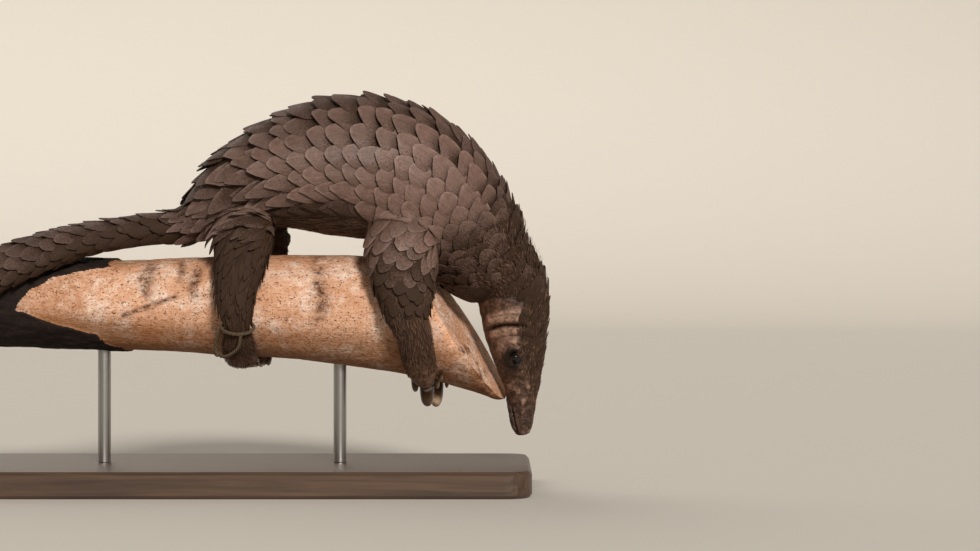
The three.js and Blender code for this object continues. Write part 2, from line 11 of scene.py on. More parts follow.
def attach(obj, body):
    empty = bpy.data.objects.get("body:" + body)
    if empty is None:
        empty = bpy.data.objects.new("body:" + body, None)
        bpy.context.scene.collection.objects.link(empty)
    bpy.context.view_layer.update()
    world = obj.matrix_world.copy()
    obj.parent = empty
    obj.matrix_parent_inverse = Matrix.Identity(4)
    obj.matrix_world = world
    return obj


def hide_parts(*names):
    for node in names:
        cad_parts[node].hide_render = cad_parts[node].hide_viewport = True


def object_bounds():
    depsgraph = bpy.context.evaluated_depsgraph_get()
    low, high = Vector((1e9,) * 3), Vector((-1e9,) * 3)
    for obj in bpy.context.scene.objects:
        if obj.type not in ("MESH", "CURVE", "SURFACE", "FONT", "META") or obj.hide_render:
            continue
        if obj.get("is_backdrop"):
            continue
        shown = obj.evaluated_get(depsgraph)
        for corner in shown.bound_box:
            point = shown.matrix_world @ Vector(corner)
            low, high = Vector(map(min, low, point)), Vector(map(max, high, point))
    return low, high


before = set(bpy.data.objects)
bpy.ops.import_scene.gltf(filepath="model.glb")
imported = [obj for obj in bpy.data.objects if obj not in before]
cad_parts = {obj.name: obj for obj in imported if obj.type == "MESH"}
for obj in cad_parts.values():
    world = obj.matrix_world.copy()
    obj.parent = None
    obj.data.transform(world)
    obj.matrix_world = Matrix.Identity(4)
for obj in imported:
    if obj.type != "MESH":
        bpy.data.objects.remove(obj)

bl_info = {
    "name": "Tree pangolin on a log",
    "version": (1, 0, 0),
    "blender": (4, 5, 0),
    "location": "View3D > Sidebar > Pangolin",
    "description": "Builds the hide, scales, hair, log and stand of a museum-type pangolin model",
    "category": "Add Mesh",
}

MM = 0.001
DEG = math.pi / 180

# Camera, level and square to the log, in mm: its place, the width that it sees at the log, its sensor
CAMERA = {"x": 155.0, "distance": 1450.0, "z": 131.8, "view_width": 607.6, "sensor": 36.0}

# Studio: metres of flat paper before its bend, the bend's radius and the paper's height
SWEEP = {"flat": 4.2, "bend": 1.0, "height": 1.5}
# The even light of the air all round: its linear colour and its strength
AIR = {"colour": (1.0, 0.92, 0.82, 1), "strength": 0.24}
# Lights: name, direction that it comes from, strength, spread in degrees, colour
LIGHTS = (
    ("key_light", (0.27, -0.84, 0.46), 3.1, 12, "#fffaf4"),
    ("back_light", (-0.5, 0.7, 0.6), 0.9, 50, "#fdf6ee"),
)

# Log stations in mm: [x, z of its axis, radius]
LOG_STATIONS = np.array([
    [-340, 117.5, 26.2], [-240, 117.0, 26.8], [-150, 116.0, 27.3], [-110, 114.8, 27.2],
    [-74, 113.6, 27.3], [-25, 113.5, 29.8], [37, 112.2, 32.4], [68, 110.4, 34.2],
    [99, 106.8, 35.2], [124, 101.8, 35.6], [145, 95.6, 35.6], [200, 76.0, 35.6],
])
# The log's sawn rear end, the middle of its slanting cut, and how far the cut lies back for each mm
# of height and runs on for each mm towards the far side
LOG = {"tail_end": -312, "cut_at": 137.4, "cut_back": 0.58, "cut_aside": 0.22}
# The torn edge of the bark: [degrees round the log from its top, x]
BARK_EDGE = [
    [0, -72], [35, -79], [55, -112], [75, -124], [100, -131], [116, -112], [130, -88], [160, -74],
    [230, -62], [300, -66], [360, -72],
]
# Ring marks: [x, width, degrees off the top that they reach on both sides]
RING_MARKS = [[-54, 3.6, 100], [-36, 2.6, 74], [-25, 4.6, 92], [51, 4.4, 112]]
CUT_RINGS = 24  # rings of points over each cut end
# Spots of dark moss by the slanting cut, on the near side: [x, z, radius]
MOSS_SPOTS = [[149, 71, 5.2], [140, 86, 3.4], [153, 62, 3.6]]

# Trunk stations in mm from the nose to the tail root: [x, z, half height, half width]
TRUNK = [
    [175.4, 34.4, 4.4, 3.8], [175.0, 37.2, 6.0, 5.2], [174.6, 42.2, 7.4, 6.5],
    [174.4, 54.6, 9.4, 8.4], [174.7, 63.9, 11.2, 10.0], [173.8, 73.2, 13.9, 12.4],
    [172.5, 85.6, 17.2, 15.2], [171.1, 98.0, 19.8, 17.6], [170.3, 111.0, 21.6, 19.4],
    [167.0, 126.5, 23.2, 23.6], [153.4, 141.4, 29.8, 31.0], [138.0, 160.6, 36.6, 38.4],
    [120.3, 180.0, 41.6, 43.0], [98.0, 194.7, 43.6, 44.4], [74.4, 199.6, 44.4, 44.0],
    [50.8, 199.0, 42.0, 42.2], [27.3, 195.3, 35.4, 38.4], [6.2, 188.5, 28.0, 33.5],
    [-9.3, 178.6, 21.8, 28.5], [-20.5, 169.6, 16.4, 22.3], [-32.0, 162.8, 11.6, 17.6],
]
# Tail: its length, half sizes and rounded tip, the degrees off the log's line by which it first slants
# and then wraps, and the bridge that lifts its root off the log
TAIL = {
    "length": 440, "height": 10.6, "width": 17.0, "tip_height": 3, "tip_width": 4.5,
    "tip_from": 9, "tip_round": 9.5,
    "slant": 31, "slant_by": 96, "wrap": 70, "wrap_from": 118, "wrap_by": 190,
    "bridge": 7.6, "bridge_from": 12, "bridge_to": 112, "wrap_gap": 0.4,
}

# Leg stations: [x, degrees from the log's top, distance from its axis, half thickness, half width]
HIND_LEG = [
    [3, 13, 57.5, 13.5, 17.6], [5, 33, 50, 12.5, 19], [4, 54, 44.6, 11.2, 15.6],
    [1.6, 82, 42.2, 9.4, 12.2], [2.4, 98, 41.8, 8.2, 10.2], [2.8, 107, 42.4, 6.8, 8.2],
    [2.8, 124, 40.6, 7.6, 10.8], [3.0, 142, 38.8, 7.0, 10.8], [3.4, 158, 36.8, 4.8, 9.2],
    [3.6, 168, 35.6, 3.0, 7.0],
]
FORE_LEG = [
    [104, 17, 64, 16, 21], [102, 36, 55.8, 15, 22.4], [102.6, 54, 50, 13, 21],
    [104.6, 76, 46.8, 11, 16.4], [106.3, 91, 45.8, 9.8, 13], [109.4, 101, 45.3, 8.8, 11.6],
    [111, 112.5, 45, 8.2, 11], [112.6, 126, 44, 7.4, 10.6], [114.4, 142, 42.6, 6.2, 9.0],
    [115.4, 152, 42.0, 5.0, 6.6], [116, 160, 41.8, 4.4, 5.0],
]
LEFT_SHIFT = 5  # the left legs stand this much further along the log

# Claws: [x, degrees and distance of the root, length, radius, outward bow]
HIND_CLAWS = [
    [-5.0, 156, 36.4, 9, 1.7, 0.4], [-0.9, 160, 36.2, 11, 1.9, 0.5], [3.4, 161, 36.2, 12, 2.0, 0.5],
    [7.7, 160, 36.2, 11, 1.9, 0.5], [11.8, 156, 36.4, 9, 1.7, 0.4],
]
FORE_CLAWS = [
    [105.6, 137, 41.6, 8, 1.5, 0.8], [109.2, 148, 42.0, 13, 2.6, 3.0], [116.4, 156, 42.4, 17, 4.9, 7.0],
    [122.8, 141, 41.8, 10, 1.8, 1.6], [125.4, 133, 41.2, 7, 1.4, 0.8],
]

# A claw's rings and columns of points, the share of its length that is sunk in the toe, and its half
# sizes as shares of its radius
CLAW = {"rings": 18, "columns": 20, "sunk": 0.12, "back": 1.05, "sole": 0.8, "width": 0.9}

# Face: places in mm from the nose along the head and in degrees off the back, and sizes in mm
EYE = {"radius": 4.4, "along": 47.2, "angle": 100, "sunk": 3.2, "opening": [3.9, 3.4], "cornea": 0.22}
EAR = {"along": 72.0, "from": 66, "to": 148, "width": 4.6, "height": 2.7}
MOUTH = {"length": 18, "below_tip": 3.2, "below_back": 6.4}
NOSTRIL = {"along": 2.4, "angle": 44}

# Hair of the legs: its start and its distance from the foot's end, the number of locks, the palest
# tone above and at the foot, and the degrees off the back of the tuft at knee or elbow
LEG_HAIR = {
    # The hind leg's hair is kept dark above the foot as painted shade
    "hind": {"from": 36, "bare": 8, "locks": 1700, "palest": (0.4, 1.7), "tuft": 62},
    "fore": {"from": 42, "bare": 22, "locks": 2000, "palest": (0.9, 1.8), "tuft": -70},
}

# Cord round the right ankle: its radius, the leg station that it lies at, its gap off the skin, and for
# its knot the radius of the cord and the stretch of its line along x, y and z
CORD = {"radius": 1.1, "at_station": 5, "gap": 0.4, "knot_radius": 0.85, "knot": [0.62, 0.5, 0.72]}
# The cord's loose strand: [below the ring, degrees, off the skin]
STRAND = [
    [0.4, -78, 0.2], [6, -84, 1.2], [12, -80, 1.6], [16, -62, 1.4], [14, -30, 0.8], [8, 4, 0.6],
    [0.6, 16, 0.2],
]

# Sizes in mm, except where a comment says otherwise
SKIN_DEPTH = 0.9  # the hide lies this far inside the solids, under the scales
BODY_FROM = 78.0  # where the body's skin starts, under the head's
HEAD_END = 92.0  # where the head's own skin dips under the neck
VOXEL = 1.75  # size of the cells in which the body's skin is fused
SHARP = 48 * DEG  # edges steeper than this stay crisp
PATH_STEP = 1.5  # distance between the samples of a limb's middle line
MAP_PATCH = 0.003  # share of the bake map's width that one scale's or lock's patch takes
MAP_MARGIN = 0.03  # share of a field of the bake map that stays free at each end

# Colours in single finishes, beside those in the settings
TINTS = {
    # The hide's near black tint paints shade in creases, holes, hollows, under scales and on haired parts,
    # and darker skin
    "shade_and_dark_skin": "#1c1009", "pupil": "#050303", "wood_warm": "#bd7f56", "wood_brown": "#4f2f1c",
    "wood_earth": "#7c4b1f", "wood_worn": "#f3dbc9", "bark_fleck": "#2f211a", "stand_grain": "#5a4433",
    "steel": "#a9a8a6",
}


def srgb(code):
    """The linear colour of an sRGB hex value."""
    parts = [int(code[i:i + 2], 16) / 255 for i in (1, 3, 5)]
    return [c / 12.92 if c <= 0.04045 else ((c + 0.055) / 1.055) ** 2.4 for c in parts]


def mix(a, b, t):
    """The value a share t of the way from a to b."""
    return a + (b - a) * t


def ease(start, end, value):
    """A smooth step from 0 at the start to 1 at the end."""
    t = np.clip((value - start) / (end - start), 0, 1)
    return t * t * (3 - 2 * t)


def unit(v):
    """Vectors brought to length 1."""
    return v / np.linalg.norm(v, axis=-1, keepdims=True)


def bump_at(value, middle, width):
    """A smooth hump of height 1 round a middle value."""
    return np.exp(-(((value - middle) / width) ** 2))


def turned(angle):
    """An angle in radians brought to degrees between -180 and 180."""
    return (angle / DEG + 540) % 360 - 180


def noise(points, size, seed=0):
    """Smooth random values from about -1 to 1, with features of the given size."""
    p = np.asarray(points, float) / size + 19.7 * seed + 300
    cell = np.floor(p).astype(np.int64)
    f = p - cell
    f = f * f * (3 - 2 * f)
    total = np.zeros(p.shape[:-1])
    for dx in (0, 1):
        for dy in (0, 1):
            for dz in (0, 1):
                mixed = (cell[..., 0] + dx) * 73856093 ^ (cell[..., 1] + dy) * 19349663
                mixed ^= (cell[..., 2] + dz) * 83492791
                mixed = (mixed ^ (mixed >> 13)) * 1274126177 & 0x7FFFFFFF
                share = np.abs(1 - dx - f[..., 0]) * np.abs(1 - dy - f[..., 1]) * np.abs(1 - dz - f[..., 2])
                total += share * (mixed / 0x3FFFFFFF - 1)
    return total


def rough(points, size, octaves=3, seed=0):
    """Noise summed over finer and finer features."""
    return sum(noise(points, size / 2**i, seed + i) / 1.7**i for i in range(octaves)) / 1.6


# Places along a limb

class Path:
    """A limb's middle line through rows of [x, y, z, half height, half width] in mm."""

    def __init__(self, rows, back_of):
        rows = np.array(rows, float)
        gaps = np.linalg.norm(np.diff(rows[:, :3], axis=0), axis=1)
        slopes = np.diff(rows, axis=0) / gaps[:, None]
        before, after = gaps[:-1, None], gaps[1:, None]
        inner = (slopes[:-1] * before + slopes[1:] * after) / (before + after)
        tangents = np.vstack([slopes[:1], inner, slopes[-1:]])
        samples = [rows[:1]]
        ends = [0]
        for i, gap in enumerate(gaps):
            t = np.linspace(0, 1, max(2, math.ceil(gap / PATH_STEP)) + 1)[1:, None]
            samples.append(
                (2 * t**3 - 3 * t**2 + 1) * rows[i] + (t**3 - 2 * t**2 + t) * gap * tangents[i]
                + (3 * t**2 - 2 * t**3) * rows[i + 1] + (t**3 - t**2) * gap * tangents[i + 1]
            )
            ends.append(ends[-1] + len(t))
        self.samples = np.vstack(samples)
        steps = np.linalg.norm(np.diff(self.samples[:, :3], axis=0), axis=1)
        self.lengths = np.concatenate([[0], np.cumsum(steps)])
        self.length = self.lengths[-1]
        self.stations = self.lengths[ends]
        self.back_of = back_of

    def row(self, s):
        """The place and half sizes at distances along the limb."""
        s = np.clip(s, 0, self.length)
        return np.stack([np.interp(s, self.lengths, self.samples[:, c]) for c in range(5)], -1)

    def at(self, s):
        """Centre, along, back, side, half height and half width at distances along the limb."""
        s = np.asarray(s, float)
        row = self.row(s)
        inside = np.clip(s, 0, self.length)
        along = unit(self.row(inside + 2)[..., :3] - self.row(inside - 2)[..., :3])
        centre = row[..., :3] + along * (s - inside)[..., None]
        back = self.back_of(centre, along)
        back = unit(back - along * np.sum(back * along, -1, keepdims=True))
        return centre, along, back, np.cross(back, along), row[..., 3], row[..., 4]

    def point(self, s, angle, raised=0.0):
        """Points on the skin at angles from the back, raised off it."""
        centre, _, back, side, height, width = self.at(s)
        up = (height + raised) * np.cos(angle)
        out = (width + raised) * np.sin(angle)
        return centre + back * up[..., None] + side * out[..., None]

    def round(self, s, angle):
        """Millimetres of skin for a radian round the limb, and for a millimetre along it."""
        _, _, _, _, height, width = self.at(s)
        across = np.hypot(height * np.sin(angle), width * np.cos(angle))
        stretch = np.linalg.norm(self.point(s + 1, angle) - self.point(s - 1, angle), axis=-1) / 2
        return across, np.clip(stretch, 0.45, 2.0)


def log_height(x):
    """Height of the log's axis."""
    return np.interp(x, LOG_STATIONS[:, 0], LOG_STATIONS[:, 1])


def log_radius(x):
    """The log's radius."""
    return np.interp(x, LOG_STATIONS[:, 0], LOG_STATIONS[:, 2])


def round_log(x, degrees, distance):
    """Points round the log: degrees from its top, positive to the near side."""
    x, degrees, distance = np.broadcast_arrays(np.asarray(x, float), degrees, distance)
    angle = degrees * DEG
    return np.stack([x, -distance * np.sin(angle), log_height(x) + distance * np.cos(angle)], -1)


def away_from_log(centre, _):
    """The direction from the log's axis to a limb's middle line."""
    rise = centre[..., 2] - log_height(centre[..., 0])
    return np.stack([np.zeros_like(rise), centre[..., 1], rise], -1)


def trunk_back(_, along):
    """The direction of the spine, square to the trunk's own line."""
    return np.stack([along[..., 2], np.zeros_like(along[..., 0]), -along[..., 0]], -1)


trunk = Path([[x, 0, z, height, width] for x, z, height, width in TRUNK], trunk_back)
ROOT = trunk.length


def tail_path():
    """The tail's path, tapered along the log and then wound round it, resting on the wood."""
    rows = []
    step = 2
    length = TAIL["length"]
    root = trunk.at(ROOT)[0]
    root_height = root[2] - log_height(root[0])
    rest = root_height - log_radius(root[0]) - TAIL["height"] - TAIL["bridge"] - TAIL["wrap_gap"]
    x = root[0]
    angle = 0.0
    for s in range(0, length + 1, step):
        shrink = ease(0, length, s) * 0.35 + 0.65 * s / length
        end = math.sqrt(max(0, 1 - max(0, (s - length + TAIL["tip_from"]) / TAIL["tip_round"]) ** 2))
        height = mix(TAIL["height"], TAIL["tip_height"], shrink) * end
        width = mix(TAIL["width"], TAIL["tip_width"], shrink) * end
        bridge = TAIL["bridge"] * (1 - ease(TAIL["bridge_from"], TAIL["bridge_to"], s))
        settle = log_radius(x) + height + bridge + TAIL["wrap_gap"] + rest * math.exp(-s / 5)
        rows.append([*round_log(x, angle / DEG, settle), height, width])
        slant = TAIL["slant"] * ease(-10, TAIL["slant_by"], s) * ease(-1, 25, s)
        wrapped = ease(TAIL["wrap_from"], TAIL["wrap_by"], s)
        off = (slant + (TAIL["wrap"] - TAIL["slant"]) * wrapped) * DEG
        x -= math.cos(off) * step
        angle += math.sin(off) * step / settle
    return Path(rows, away_from_log)


def leg_path(stations, hand):
    """A leg's path down the near side of the log for hand 1, and down its far side for -1."""
    shift = 0 if hand > 0 else LEFT_SHIFT
    rows = [
        [*round_log(x + shift, degrees * hand, distance), thick, wide]
        for x, degrees, distance, thick, wide in stations
    ]
    return Path(rows, away_from_log)


tail = tail_path()
HANDS = (("right", 1), ("left", -1))
legs = {
    (kind, name): leg_path(stations, hand)
    for kind, stations in (("hind", HIND_LEG), ("fore", FORE_LEG))
    for name, hand in HANDS
}


# Meshes

def tube_quads(rings, columns):
    """Quads between rings of points that close on themselves."""
    ring, column = np.meshgrid(np.arange(rings - 1), np.arange(columns), indexing="ij")
    after = (column + 1) % columns
    near, far = ring * columns, (ring + 1) * columns
    return np.stack([far + column, far + after, near + after, near + column], -1).reshape(-1, 4)


def tube_faces(rings, columns):
    """Quads between rings of points, and a face over each end."""
    faces = tube_quads(rings, columns).tolist()
    faces.append(list(range(columns)))
    faces.append([(rings - 1) * columns + i for i in reversed(range(columns))])
    return faces


def mesh_piece(name, points, faces, finish, slot_name, smooth=True, **values):
    """A shown object from points in mm, with named values stored on its points."""
    mesh = bpy.data.meshes.new(name)
    faces = faces.tolist() if hasattr(faces, "tolist") else faces
    mesh.from_pydata((np.asarray(points) * MM).tolist(), [], faces)
    for key, value in values.items():
        layer = mesh.attributes.new(key, "FLOAT", "POINT")
        layer.data.foreach_set("value", np.broadcast_to(value, len(points)).astype(np.float32))
    if smooth:
        mesh.shade_smooth()
        mesh.set_sharp_from_angle(angle=SHARP)
    mesh.materials.append(finish)
    piece = bpy.data.objects.new(name, mesh)
    bpy.context.scene.collection.objects.link(piece)
    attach(piece, "root")
    return piece


def give_map(piece, places):
    """Stores the bake map from one place for each point."""
    mesh = piece.data
    layer = mesh.uv_layers.new(name="OFBake")
    corners = np.empty(len(mesh.loops), np.int32)
    mesh.loops.foreach_get("vertex_index", corners)
    layer.uv.foreach_set("vector", places[corners].astype(np.float32).ravel())


# Each limb's skin is unrolled into its own field of the bake map: [left, bottom, width, height]
FIELDS = {
    "trunk": (trunk, [0.01, 0.01, 0.60, 0.60]),
    "tail": (tail, [0.01, 0.63, 0.98, 0.17]),
    "hind_right": (legs["hind", "right"], [0.63, 0.01, 0.17, 0.30]),
    "hind_left": (legs["hind", "left"], [0.82, 0.01, 0.17, 0.30]),
    "fore_right": (legs["fore", "right"], [0.63, 0.32, 0.17, 0.30]),
    "fore_left": (legs["fore", "left"], [0.82, 0.32, 0.17, 0.30]),
}


def unrolled(field, s, angle):
    """A place on a limb's own unrolled skin."""
    path, (left, bottom, width, height) = FIELDS[field]
    return np.stack([
        left + width * (MAP_MARGIN + (1 - 2 * MAP_MARGIN) * np.clip(s / path.length, 0, 1)),
        bottom + height * (0.5 + turned(angle) / 360 * 0.96),
    ], -1)


def closed_tube(path, start, end, step, columns, raised):
    """Points and faces of a tube closed at both ends."""
    s = np.linspace(start, end, max(3, int((end - start) / step)))
    angles = np.linspace(0, 2 * math.pi, columns, endpoint=False)
    places, turns = np.meshgrid(s, angles, indexing="ij")
    points = path.point(places, turns, raised).reshape(-1, 3)
    return points, tube_faces(len(s), columns)


def add_node(tree, kind, inputs=None, **settings):
    """Adds a node with its settings, and sets or links its inputs by name or number."""
    node = tree.nodes.new(kind)
    for name, value in settings.items():
        setattr(node, name, value)
    for key, value in (inputs or {}).items():
        if isinstance(value, bpy.types.NodeSocket):
            tree.links.new(value, node.inputs[key])
        else:
            node.inputs[key].default_value = value
    return node


def new_finish(name, *stored):
    """An empty node material, its tree, its surface shader and the named values stored on the points."""
    material = bpy.data.materials.new(name)
    material.use_nodes = True
    tree = material.node_tree
    tree.nodes.clear()
    shader = add_node(tree, "ShaderNodeBsdfPrincipled")
    add_node(tree, "ShaderNodeOutputMaterial", {"Surface": shader.outputs["BSDF"]})
    values = [add_node(tree, "ShaderNodeAttribute", attribute_name=key).outputs["Fac"] for key in stored]
    return material, tree, shader, values


def solid_colour(colour):
    """A linear colour with its alpha, for a colour socket."""
    return (*colour[:3], 1.0)


def tint(name):
    return solid_colour(srgb(TINTS[name]))


def layered(tree, base, layers):
    """The base colour with further colours laid over it, each by its own share."""
    for share, colour in layers:
        base = add_node(tree, "ShaderNodeMix", {0: share, 6: base, 7: colour}, data_type="RGBA").outputs[2]
    return base


# Settings

class PangolinSizes(bpy.types.PropertyGroup):
    scale_lift: bpy.props.FloatProperty(
        name="Scale lift", description="Height of a scale's free edge over the next one",
        default=0.0020, min=0.0005, max=0.005, precision=4, unit="LENGTH",
    )
    scale_thickness: bpy.props.FloatProperty(
        name="Scale thickness", description="Thickness of a scale near its free edge",
        default=0.0007, min=0.0003, max=0.002, precision=4, unit="LENGTH",
    )
    hair_length: bpy.props.FloatProperty(
        name="Hair length", description="Length of the coarse hair on the lower legs and belly",
        default=0.0085, min=0.002, max=0.02, precision=4, unit="LENGTH",
    )
    bark_thickness: bpy.props.FloatProperty(
        name="Bark thickness", description="Height of the bark over the peeled wood",
        default=0.0011, min=0.0, max=0.004, precision=4, unit="LENGTH",
    )
    wrinkle_depth: bpy.props.FloatProperty(
        name="Wrinkle depth", description="Depth of the folds in the bare skin of the face",
        default=0.0004, min=0.0, max=0.002, precision=4, unit="LENGTH",
    )


def colour_setting(name, description, code):
    """A setting for a colour, given as an sRGB hex value."""
    return bpy.props.FloatVectorProperty(
        name=name, description=description, default=srgb(code), size=3, min=0, max=1, subtype="COLOR",
    )


class PangolinColours(bpy.types.PropertyGroup):
    scale_dark: colour_setting("Scale, dark", "Horn under the worn surface", "#453128")
    scale_light: colour_setting("Scale, light", "Horn where it is rubbed", "#84675c")
    # The rim colour paints worn edges, with a painted highlight on their upper sides
    scale_rim: colour_setting("Scale rim", "Worn free edge of a scale", "#b09a90")
    # On the scales this colour also paints shade: at their roots, under their lower edges and over shaded
    # regions
    soil: colour_setting("Soil", "Earth rubbed into the scales", "#331f0d")
    skin: colour_setting("Skin", "Bare skin of the face", "#5d4031")
    skin_pale: colour_setting("Pale skin", "Ear fold and worn skin", "#a8846f")
    hair: colour_setting("Hair", "Coarse hair of the legs and belly", "#3d2512")
    claw: colour_setting("Claw", "Horn of the claws", "#a98d73")
    eye: colour_setting("Eye", "The eye's dark iris", "#170e0b")
    wood: colour_setting("Peeled wood", "The log without its bark", "#dfb294")
    bark: colour_setting("Bark", "The bark left on the log", "#160d0a")
    cord: colour_setting("Cord", "The fibre round the ankle", "#62533b")
    stand: colour_setting("Stand", "The oiled wood of the base", "#3d2e24")
    floor: colour_setting("Floor", "The studio floor", "#cfcac1")


def sizes():
    return bpy.context.scene.pangolin_sizes


def colours():
    return bpy.context.scene.pangolin_colours


def millimetres(length):
    """A length setting, in millimetres."""
    return length / MM


# Materials

def scale_horn():
    """Horn scales, grown in layers and scoured by earth: fine lines run to the tip, the free edge is
    a little rubbed, with a painted highlight on its upper side, the surface is dulled by dust, and dry soil
    with painted shade darkens the hollows, the roots, the lower edges and the shaded regions."""
    material, tree, shader, stored = new_finish(
        "worn_scale_horn", "along", "across", "tone", "grime", "rim", "lot"
    )
    along, across, tone, grime, rim, lot = stored
    look = colours()
    place = add_node(tree, "ShaderNodeTexCoord").outputs["Object"]
    # Each scale has its own stretch of the pattern, up to 53 mm away from the next one's
    apart = add_node(tree, "ShaderNodeMath", {0: lot, 1: 53.0}, operation="MULTIPLY").outputs[0]
    local = add_node(tree, "ShaderNodeCombineXYZ", {"X": across, "Y": along, "Z": apart}).outputs[0]
    # Lines 0.5 mm apart, drawn 0.8 mm apart so that they show, and long towards the tip
    long_ways = add_node(tree, "ShaderNodeMapping", {"Vector": local, "Scale": (1 / 0.8, 0.11, 1.0)})
    lines = add_node(tree, "ShaderNodeTexNoise", {
        "Vector": long_ways.outputs[0], "Scale": 1.0, "Detail": 5.0, "Roughness": 0.65,
    })
    # Growth rings about 1.5 mm apart across the scale
    cross_ways = add_node(tree, "ShaderNodeMapping", {"Vector": local, "Scale": (0.12, 0.7, 1.0)})
    rings = add_node(tree, "ShaderNodeTexNoise", {
        "Vector": cross_ways.outputs[0], "Scale": 1.0, "Detail": 3.0,
    })
    # Dust in blotches 4 mm across, and grains of soil 1 mm across
    dust = add_node(tree, "ShaderNodeTexNoise", {
        "Vector": place, "Scale": 1 / (4 * MM), "Detail": 6.0, "Roughness": 0.7,
    })
    grains = add_node(tree, "ShaderNodeTexNoise", {
        "Vector": place, "Scale": 1 / (1 * MM), "Detail": 3.0, "Roughness": 0.6,
    })
    dusty = add_node(tree, "ShaderNodeMapRange", {
        "Value": dust.outputs[0], "From Min": 0.34, "From Max": 0.66,
    }).outputs[0]
    toned = add_node(tree, "ShaderNodeMath", {0: dusty, 1: tone}, operation="ADD")
    toned = add_node(tree, "ShaderNodeMath", {0: toned.outputs[0], 1: 0.5}, operation="MULTIPLY")
    line_dark = add_node(tree, "ShaderNodeMapRange", {
        "Value": lines.outputs[0], "From Min": 0.58, "From Max": 0.34, "To Max": 0.5,
    })
    # The free edge is rubbed pale only here and there, and its paler upper side is a painted highlight
    rub = add_node(tree, "ShaderNodeMath", {0: rim, 1: dusty}, operation="MULTIPLY")
    rubbed = add_node(tree, "ShaderNodeMath", {0: rub.outputs[0], 1: 0.42}, operation="MULTIPLY")
    # Soil and painted shade cover the part of the scale that the stored value gives, with a grainy border
    grainy = add_node(tree, "ShaderNodeMath", {0: grains.outputs[0], 1: dust.outputs[0]}, operation="ADD")
    edge = add_node(
        tree, "ShaderNodeMath", {0: grime, 1: 1.3, 2: grainy.outputs[0]}, operation="MULTIPLY_ADD"
    )
    soil_and_shade_cover = add_node(tree, "ShaderNodeMapRange", {
        "Value": edge.outputs[0], "From Min": 1.1, "From Max": 1.85,
    }).outputs[0]
    dark, light = solid_colour(look.scale_dark), solid_colour(look.scale_light)
    horn = layered(tree, dark, [
        (toned.outputs[0], light), (line_dark.outputs[0], dark),
        (rubbed.outputs[0], solid_colour(look.scale_rim)), (soil_and_shade_cover, solid_colour(look.soil)),
    ])
    tree.links.new(horn, shader.inputs["Base Color"])
    gloss = add_node(tree, "ShaderNodeMapRange", {
        "Value": soil_and_shade_cover, "From Min": 0.0, "From Max": 1.0, "To Min": 0.52, "To Max": 0.8,
    })
    tree.links.new(gloss.outputs[0], shader.inputs["Roughness"])
    shader.inputs["IOR"].default_value = 1.54
    shader.inputs["Specular IOR Level"].default_value = 0.34
    relief = add_node(
        tree, "ShaderNodeMath", {0: rings.outputs[0], 1: 0.5, 2: lines.outputs[0]}, operation="MULTIPLY_ADD"
    )
    grown = add_node(tree, "ShaderNodeBump", {
        "Strength": 0.6, "Distance": 0.3 * MM, "Height": relief.outputs[0],
    })
    grit = add_node(tree, "ShaderNodeMath", {0: grains.outputs[0], 1: soil_and_shade_cover}, operation="MULTIPLY")
    gritty = add_node(tree, "ShaderNodeBump", {
        "Strength": 0.8, "Distance": 0.7 * MM, "Height": grit.outputs[0], "Normal": grown.outputs[0],
    })
    tree.links.new(gritty.outputs[0], shader.inputs["Normal"])
    return material


def bare_hide():
    """Bare and thinly haired skin: dull, mottled brown and dusky pink, paler on the folds, partly as
    painted highlight, with fine pores and creases that break up the light. Near black paints shade in
    creases, holes and hollows, under scales and on the haired body, and darker skin round the eye and at
    the snout."""
    material, tree, shader, stored = new_finish("mottled_bare_hide", "pale", "haired", "wet", "dark")
    pale, haired, wet, dark = stored
    look = colours()
    place = add_node(tree, "ShaderNodeTexCoord").outputs["Object"]
    # Mottling 3.6 mm across, creases 1.2 mm across, pores 0.5 mm across
    mottle = add_node(tree, "ShaderNodeTexNoise", {
        "Vector": place, "Scale": 1 / (3.6 * MM), "Detail": 6.0, "Roughness": 0.75,
    })
    creases = add_node(
        tree, "ShaderNodeTexVoronoi", {"Vector": place, "Scale": 1 / (1.2 * MM)}, feature="DISTANCE_TO_EDGE"
    )
    pores = add_node(tree, "ShaderNodeTexNoise", {"Vector": place, "Scale": 1 / (0.5 * MM), "Detail": 2.0})
    mottled = add_node(tree, "ShaderNodeMapRange", {
        "Value": mottle.outputs[0], "From Min": 0.45, "From Max": 0.58,
    }).outputs[0]
    uneven = add_node(tree, "ShaderNodeMath", {0: mottled, 1: 0.6, 2: 0.4}, operation="MULTIPLY_ADD")
    worn = add_node(tree, "ShaderNodeMath", {0: uneven.outputs[0], 1: pale}, operation="MULTIPLY")
    # The skin between the hairs is partly hidden by them
    hidden = add_node(tree, "ShaderNodeMath", {0: haired, 1: 0.6}, operation="MULTIPLY")
    # The near black over the dark share is painted shade in creases, holes, hollows, under scales and on
    # the haired body, and darker skin round the eye and snout
    skin = layered(tree, solid_colour(look.soil), [
        (mottled, solid_colour(look.skin)), (worn.outputs[0], solid_colour(look.skin_pale)),
        (hidden.outputs[0], solid_colour(look.hair)), (dark, tint("shade_and_dark_skin")),
    ])
    tree.links.new(skin, shader.inputs["Base Color"])
    dull = add_node(tree, "ShaderNodeMapRange", {"Value": wet, "To Min": 0.52, "To Max": 0.16})
    dull = add_node(
        tree, "ShaderNodeMath", {0: haired, 1: 0.35, 2: dull.outputs[0]}, operation="MULTIPLY_ADD"
    )
    tree.links.new(dull.outputs[0], shader.inputs["Roughness"])
    shader.inputs["IOR"].default_value = 1.44
    shader.inputs["Specular IOR Level"].default_value = 0.45
    creased = add_node(tree, "ShaderNodeBump", {
        "Strength": 0.8, "Distance": 0.4 * MM, "Height": creases.outputs[0],
    })
    pored = add_node(tree, "ShaderNodeBump", {
        "Strength": 0.3, "Distance": 0.2 * MM, "Height": pores.outputs[0], "Normal": creased.outputs[0],
    })
    tree.links.new(pored.outputs[0], shader.inputs["Normal"])
    return material


